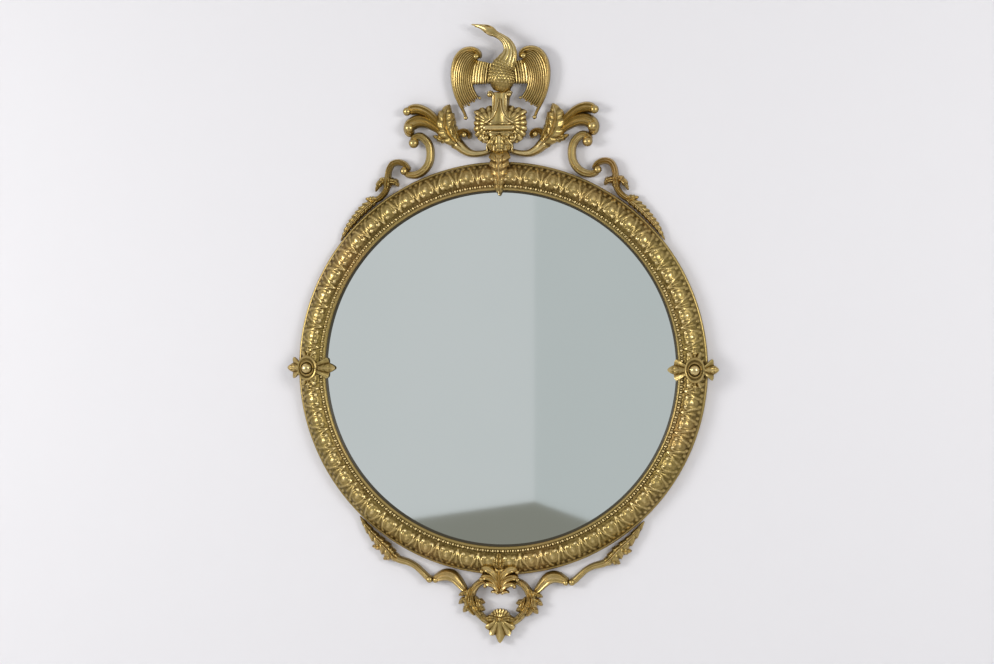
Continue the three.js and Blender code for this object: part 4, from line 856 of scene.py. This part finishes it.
def arm(side):
    at = {"side": side}
    return [
        limb([[11, 17.5, 4, 8], [21, 14.6, 4.2, 9], [31, 13.6, 4.6, 10], [41, 15.5, 5.6, 11], [50, 22.5, 7.2, 12],
              [56, 31, 8.4, 13], [60, 39, 8, 12]], **at),
        leaf([[49, 22, 6.5, 11], [55.5, 30, 10, 13.5], [61, 39, 13.4, 15.5], [65.2, 49, 15.8, 17],
              [66.8, 61, 16, 17], [65.5, 73, 13, 15], [62.5, 83, 8, 12], [58, 91.5, 1, 6]],
             lobes=6, bite=0.2, sweep=0.6, vein=0.1, curl=0.12, hollow=0.1, **at),
        leaf([[54, 34, 5, 12, 1], [56, 46, 6, 13, 2], [58.5, 58, 6, 12, 3], [57.5, 70, 4, 9, 3], [55, 78, 1, 5, 2]],
             lobes=4, bite=0.25, **at),
        limb([[58, 32, 4, 12], [56, 42.5, 5, 13], [49.5, 48.5, 5.2, 14], [42.5, 46.8, 4.6, 14], [40, 41.5, 3.8, 13],
              [43.5, 38.2, 3, 12]], flutes=3, depth=0.25, **at),
        bulb(45.3, 43, 4.0, 12.5, **at),
        leaf([[68, 40, 6, 10], [77, 45.5, 6, 9.5], [86, 53, 1, 5]], lobes=3, bite=0.3, **at),
        limb([[71, 57, 5, 11], [78.3, 75, 6.4, 12.5], [86, 89, 7.4, 13.5], [96, 98, 8, 14], [106, 98.6, 7.2, 12.5]],
             flutes=3, depth=0.24, **at),
        bulb(105.4, 98.3, 6.2, 8, **at),
        limb([[72, 51, 5, 12], [81.5, 65.5, 7, 13], [90, 75.5, 8.6, 14], [99.5, 80.5, 9.6, 14.5],
              [108.3, 77.8, 9.4, 14], [111.2, 70.5, 8.2, 13], [109, 63.5, 5.4, 10]], flutes=3, depth=0.24, **at),
        bulb(109.6, 74.7, 7.4, 9, **at),
    ]


pair("arm", arm, "crest_arm")

# The crest's scrolls: two brass castings bolted to the ring's edge. A thick C-scroll with a knob at
# each end, a smaller S-scroll with leaf tips, and a saw-edged leaf that runs down along the ring.


def crest_scroll(side):
    at = {"side": side}
    return [
        limb([[112.5, 52.5, 5.4, 11.5], [108.8, 58, 5.8, 12.5], [102, 58.6, 6.2, 12.5], [97, 52, 6.2, 11.5],
              [94.4, 43, 6.2, 11.5], [94.8, 34, 6.2, 11.5], [97.5, 25, 6.2, 11.5], [102.5, 16.8, 6.2, 11.5],
              [110, 11, 6.2, 11.5], [119.5, 8.4, 6, 11.5], [128.5, 9.8, 5.6, 10.5], [135, 14, 5, 10],
              [138, 20, 4.6, 10]], flutes=3, depth=0.14, **at),
        bulb(110.9, 51.6, 7.4, 9, **at),
        bulb(137.5, 20.5, 5.8, 8, **at),
        limb([[131, 18, 3.6, 9], [133.4, 29.3, 4.6, 10], [140, 36.6, 4.9, 11], [148, 38.2, 4.9, 11],
              [155, 33.7, 4.9, 11], [161, 26.2, 5, 11], [166.5, 18.8, 5.4, 11], [171.5, 11.8, 5, 10],
              [180, 7.6, 4.7, 10], [189, 6.8, 4.5, 9], [199, 9, 4, 9], [204, 13, 3, 8]], flutes=3, depth=0.2, **at),
        leaf([[157, 31, 4, 10], [163.5, 22, 6.5, 12], [169, 14, 6, 11], [174, 9.5, 3, 8]], lobes=4, **at),
        leaf([[163, 24, 5, 10], [174, 24.5, 5.4, 9.5], [187, 17.5, 1, 4]], lobes=3, bite=0.3, **at),
        leaf([[165, 20, 5, 10], [156.5, 13.5, 5.6, 9.5], [155.5, 5, 1.2, 5]], lobes=3, bite=0.3, **at),
        leaf([[190, 7, 5, 9], [198, 12, 5.2, 8.5], [204, 19, 1, 4.5]], lobes=3, bite=0.3, **at),
        leaf([[190, 6.4, 6, 9, 0, 5.4], [205, 7, 9.4, 9.5, 0, 6], [221, 6.8, 8.6, 8.5, 0, 5.6],
              [236, 6, 7.4, 7.5, 0, 5], [251, 5, 5.6, 6.5, 0, 4], [263, 3, 3.4, 5, 0, 2.2],
              [272, 1.8, 0.8, 3, 0, 0.8]], lobes=10, bite=0.34, sweep=0.9, vein=0.2, **at),
    ]


pair("scroll", crest_scroll, "crest_scroll")

# The side mounts: on each side of the ring a cross-shaped brass leaf lies over the band, and an oval
# boss with two rolls round a dome holds it.
BOSS_OUT, BOSS_LIFT = -17.5, 29.3
BOSS_HALF, BOSS_TALL = 14.6, 18.8
BOSS_RINGS = [
    (0, -3), (0.97, -3), (1, 1.4), (0.97, 3.0), (0.9, 3.9), (0.83, 3.6), (0.78, 2.4), (0.74, 2.6), (0.7, 4.4),
    (0.64, 5.4), (0.58, 4.9), (0.54, 3.6), (0.51, 5.2), (0.46, 8.2), (0.36, 10.4), (0.2, 11.7), (0, 12),
]


def side_boss(side):
    around = np.linspace(0, 2 * math.pi, 64, endpoint=False)[:, None]
    share, lift = np.array(BOSS_RINGS).T
    tall = BOSS_HALF + (BOSS_TALL - BOSS_HALF) * np.clip((share - 0.45) / 0.55, 0, 1)
    x = side * (RING + BOSS_OUT) + BOSS_HALF * share * np.cos(around)
    grid = spread(x, BOSS_LIFT + lift, tall * share * np.sin(around))
    # Colour is bright on the rolls and dome and dark in the grooves and at the back: wear and dirt with painted
    # highlight and painted shade.
    relief = np.interp(np.arange(len(share)), [0, 2, 4, 6.5, 9, 11, 13, 16], [0, 0.4, 0.75, 0.0, 0.8, 0.0, 0.8, 1])
    return [shell(grid, relief)]


def side_leaf(side):
    at = {"place": beside_ring, "side": side}
    over = {"low": 23, "steps": 20, "ridge": 2.4, "point": 1.0}
    parts = [
        fan((0, -10), [(-8, -2), (-7, 8.5), (7, 8.5), (8, -2)], [(-15.5, 6.5), (0, 16), (15.5, 6.5)],
            high=17, edge=9, back=6, **over, **at),
        fan((0, -18), [(-8, -31), (-7, -48), (7, -48), (8, -31)], [(-15, -44), (0, -57), (15, -44)],
            high=22, edge=16.5, back=15.5, **over, **at),
        leaf([[0, -4, 3, 3, 12], [0, 4, 5, 4, 9], [0, 12, 4, 3, 7], [0, 15.6, 1, 2, 6]], lobes=3, lift=6, **at),
        leaf([[0, -32, 3, 3, 16.6], [0, -42, 6, 4, 15], [0, -50, 4, 3, 14], [0, -56.4, 1, 2, 13]], lobes=3,
             lift=6, **at),
    ]
    for way in (-1, 1):
        parts.append(fan(
            (way * 8, BOSS_OUT), [(way * 15, -24.5), (way * 22, -20), (way * 22, -15), (way * 15, -10.5)],
            [(way * 25, -26), (way * 30, BOSS_OUT), (way * 25, -9)],
            high=25, edge=21, low=24, back=18, ridge=1.6, **at))
        parts.append(bulb(way * 24, BOSS_OUT, 3.4, 24, beside_ring, side, lift=0))
    disc = [(0, 20), (12.5, 20), (12.5, 28.4), (12, 29), (0, 29)]
    parts.append(turned(disc, (side * (RING + BOSS_OUT), 0), 40, 0.3))
    return parts


for side, hand in HANDS:
    metal("side_leaf_piece_" + hand, side_leaf(side), "side_leaf_" + hand)
    metal("side_boss_piece_" + hand, side_boss(side), "side_boss_" + hand, sharp=30, paint=RUBBED)

# The apron's palmette: a brass casting bolted through the ring's bottom. Paired lobes curl up and
# out over the band from a ribbed heart, round a bud.


def palmette_side(side):
    at = {"place": below_ring, "side": side, "lift": 0.0}
    return [
        limb([[1.5, 9, 3.8, 10, 14.5], [5.5, -0.5, 5.4, 11, 16.5], [12, -7.6, 6.2, 10.5, 18.5],
              [20, -10.2, 5.8, 9.5, 18], [26, -7, 4.4, 8, 16]], flutes=3, depth=0.16, **at),
        bulb(26, -5.6, 3.6, 18.5, **at),
        limb([[1.5, 18, 3.6, 9, 14], [6, 9, 5, 10, 15], [13.5, 3.4, 5.4, 10, 15], [22, 2.2, 5, 9.5, 15],
              [27, 5, 3.4, 8, 14]], flutes=3, depth=0.16, **at),
        bulb(26.6, 5.8, 3.3, 18, **at),
        limb([[2, 25, 3.2, 8, 13], [5.5, 17.5, 4.4, 9, 14], [12, 13, 4.8, 9, 14], [19, 12.8, 4.2, 8, 13.5],
              [22, 16.4, 2.8, 7, 12.5]], flutes=2, depth=0.16, **at),
        bulb(21.4, 16.2, 2.8, 16, **at),
        limb([[1.5, 28, 2.0, 7, 10], [6, 24.6, 2.6, 8, 11], [10.5, 24, 2.4, 7, 11], [13, 26.5, 1.6, 6, 10]], **at),
        leaf([[2, -10, 3, 6, 20], [6, -17, 3.6, 6, 21.5], [8, -25, 1, 3, 21]], lobes=3, **at),
    ]


metal("palmette", [
    leaf([[0, -12, 7, 8, 19], [0, 0, 11, 12, 13.5], [0, 12, 11, 15, 8], [0, 21, 8.4, 13.5, 5.5],
          [0, 28.5, 3, 9, 5]], below_ring, lift=0, lobes=5, sweep=-0.5),
    leaf([[0, -10, 3.4, 6, 22], [0, -18, 6, 8, 22.5], [0, -26, 6, 7.5, 21.5], [0, -34, 1.4, 4, 21]], below_ring,
         lift=0, lobes=3, rib=0.2),
    *both(palmette_side),
], "apron_palmette")

# The apron's loops: two brass castings that close a heart-shaped ring under the palmette, each a
# round bar with a leaf on its outer and its inner side, whose pointed tips stand free.
LOOP_TIPS = [
    [(42, 27), (48.5, 32), (55.5, 37.5)], [(43, 37), (48.5, 43), (53.5, 49.5)],
    [(39, 48), (43, 54), (46, 60.5)], [(31, 38), (26, 40.5), (19.8, 42.5)],
    [(29, 48), (24.5, 50.5), (19.2, 53.5)], [(29, 56), (26, 60), (22.5, 62.5)],
]


def apron_loop(side):
    at = {"place": rim_bottom, "side": side}
    return [
        limb([[4, 22, 3.2, 9.5], [10.5, 15, 4.2, 10.5], [19, 10.2, 4.8, 11], [29, 13.7, 5.2, 11],
              [36.5, 24, 5.6, 11.5], [38.3, 36, 5.8, 11.5], [34, 48, 5.8, 11.5], [25.5, 60.5, 5.6, 11],
              [15, 69.5, 5, 10.5], [5, 71, 2.8, 9]], flutes=3, depth=0.14, **at),
        leaf([[40, 20, 2, 7, 3], [42, 30, 5.5, 8, 4], [43, 40, 6.5, 9, 3.5], [39, 51, 6, 9, 3], [31, 62, 2, 6, 3]],
             lobes=3, bite=0.3, **at),
        leaf([[34, 33, 2, 7, 3], [29.5, 41, 5, 8, 4], [27, 49, 5.6, 9, 4], [29, 58, 3, 7, 3]],
             lobes=3, bite=0.3, **at),
        leaf([[37, 29, 3, 9, 4.5], [36.8, 40, 5, 10, 4.5], [32, 51, 5.8, 10, 4.5], [25, 61, 5.2, 9.5, 3],
              [17, 68, 1.4, 5, 3]], lobes=5, bite=0.15, **at),
        *(leaf([[*root, 4.4, 8, 3], [*middle, 4.6, 8.5, 3.5], [*tip, 0.8, 3, 3]], lobes=2, bite=0.15, **at)
          for root, middle, tip in LOOP_TIPS),
    ]


pair("loop", apron_loop, "apron_loop")

# The pendant: a brass casting at the loops' lower ends, a broad pointed leaf under a small shell.
metal("pendant", [
    fan((0, 62), mirrored([(14, 60.5), (18.8, 70.5), (16.8, 81.5), (7.6, 88)]),
        mirrored([(21, 64.5), (21.7, 76.5), (14, 88), (0, 99)]), place=below_ring,
        low=15, high=15, edge=7, ridge=1.4, point=1.4, steps=24, crown=1.4, curl=3),
    fan((0, 68), mirrored([(14, 67), (13.8, 59.8), (10.8, 54.5), (6.6, 51.6), (2.2, 50.6)]),
        mirrored([(15, 62.5), (13.4, 55.8), (9.2, 51.6), (4.6, 49.9), (0, 49.5)]), place=below_ring,
        low=12, high=14, edge=8.5, ridge=0.8, point=0.6, rim=0.7),
    bulb(0, 63.5, 3.2, 15, below_ring),
    *both(lambda side: [
        leaf([[1, 67, 3.2, 7, 12], [8, 62.5, 5, 8.5, 11.5], [16, 62.5, 4.8, 8, 10.5], [22, 66.5, 1.2, 5, 9]],
             below_ring, side, lobes=3),
        bulb(6.5, 58.5, 1.5, 15, below_ring, side), bulb(10.4, 62.4, 1.4, 17, below_ring, side),
    ]),
], "apron_pendant")

# The apron's scrolls: two brass castings bolted to the ring's lower edge. A leafy tail, a slim stem,
# a knuckle and a fluted arch that meets the loop.


def apron_scroll(side):
    at = {"place": rim_bottom, "side": side}
    return [
        leaf([[229, 2.6, 1.2, 4], [215.4, 5.6, 5.4, 7.5, 0, 4.5], [200.3, 8.5, 8.6, 9.5, 0, 6],
              [184.5, 10.5, 11.4, 11, 0, 7.5], [171, 13, 13.2, 12, 0, 8.5], [158.8, 17, 10, 12, 0, 8],
              [147.5, 18.5, 5, 10]], lobes=7, bite=0.28, sweep=0.5, **at),
        limb([[163.4, 18.5, 5, 11], [148.3, 18.6, 5.6, 11], [134, 15.8, 5.0, 10.5], [122, 16.5, 4.7, 10.5],
              [110, 21, 4.8, 10.5], [101, 25, 5, 10], [93, 25.4, 4.6, 10]], flutes=3, depth=0.12, **at),
        bulb(98, 26, 5.0, 7, **at), bulb(90, 24, 4.2, 7, **at),
        limb([[94, 25, 4.4, 10], [87, 18.7, 7, 12], [81, 13.8, 8.6, 12.5], [74, 11.6, 9.2, 12.5],
              [66, 13.2, 8.8, 12.5], [58, 18.8, 7.4, 11.5], [51, 25, 5.8, 10.5], [46, 29, 4.4, 9.5]],
             flutes=3, depth=0.18, **at),
        leaf([[158.8, 15, 6, 10.5], [162.6, 23, 5.8, 10], [166.4, 31, 1, 5]], lobes=3, **at),
        leaf([[174.7, 14, 6, 10.5], [181.4, 19, 5.8, 9.5], [189, 24.5, 1, 4]], lobes=3, **at),
    ]


pair("apron_scroll_piece", apron_scroll, "apron_scroll")

# What stays as the CAD has it: the glass, its card and board, the turn buttons with their screws,
# the hanger and the nuts. Each gets a paint of its own.


def plain_paint(name, first, second, scale, metallic, rough, stretch=(1, 1, 1), bump=0.2):
    """A surface whose colour and roughness wander between two values with stretched noise."""
    paint = Paint(bpy.data.materials.new(name))
    place = paint.node("TexCoord").outputs["Object"]
    spread = paint.node("Mapping", {}, {"Vector": place, "Scale": stretch}).outputs[0]
    cloud = paint.number("TexNoise", 0, {}, {"Vector": spread, "Scale": scale, "Detail": 5.0, "Roughness": 0.6})
    colour = paint.blend(cloud.held(0.32, 0.68), first, second)
    dents = paint.node("Bump", {}, {"Strength": bump, "Distance": 0.0005, "Height": cloud})
    skin = paint.node("BsdfPrincipled", {}, {
        "Base Color": colour, "Metallic": metallic, "Roughness": rough + (cloud - 0.5) * 0.2,
        "Normal": dents.outputs[0],
    })
    return paint.finish(skin.outputs[0])


glass_paint = Paint(bpy.data.materials.new("silvered_glass"))
glass_place = glass_paint.node("TexCoord").outputs["Object"]
haze = glass_paint.number("TexNoise", 0, {}, {"Vector": glass_place, "Scale": 6.0, "Detail": 3.0})
silver = glass_paint.node("BsdfPrincipled", {}, {
    "Base Color": glass_paint.blend(haze, (0.88, 0.91, 0.90), (0.92, 0.94, 0.935)), "Metallic": 1.0,
    "Roughness": 0.015 + haze * 0.02,
})
GLASS = glass_paint.finish(silver.outputs[0])
CARD = plain_paint("card", (0.33, 0.25, 0.16), (0.42, 0.33, 0.22), 60.0, 0.0, 0.85)
PINE = plain_paint("pine_board", (0.23, 0.135, 0.06), (0.36, 0.22, 0.10), 14.0, 0.0, 0.62, (1, 1, 0.07), 0.5)
STEEL = plain_paint("aged_steel", (0.16, 0.145, 0.125), (0.30, 0.28, 0.25), 160.0, 1.0, 0.45)
FITTING = plain_paint("fitting_brass", (0.30, 0.20, 0.07), (0.52, 0.37, 0.14), 130.0, 1.0, 0.42)

KEPT_PAINTS = {
    "mirror_plate": GLASS, "packing_card": CARD, "backboard": PINE, "hanger_": STEEL, "turn_button_screw": STEEL,
    "turn_button": FITTING, "_nut": FITTING,
}
for part in list(bpy.data.objects):
    paint = next((paint for key, paint in KEPT_PAINTS.items() if key in part.name), None)
    if paint and part.type == "MESH" and part.data.materials and part.data.materials[0]:
        part.material_slots[0].material = paint
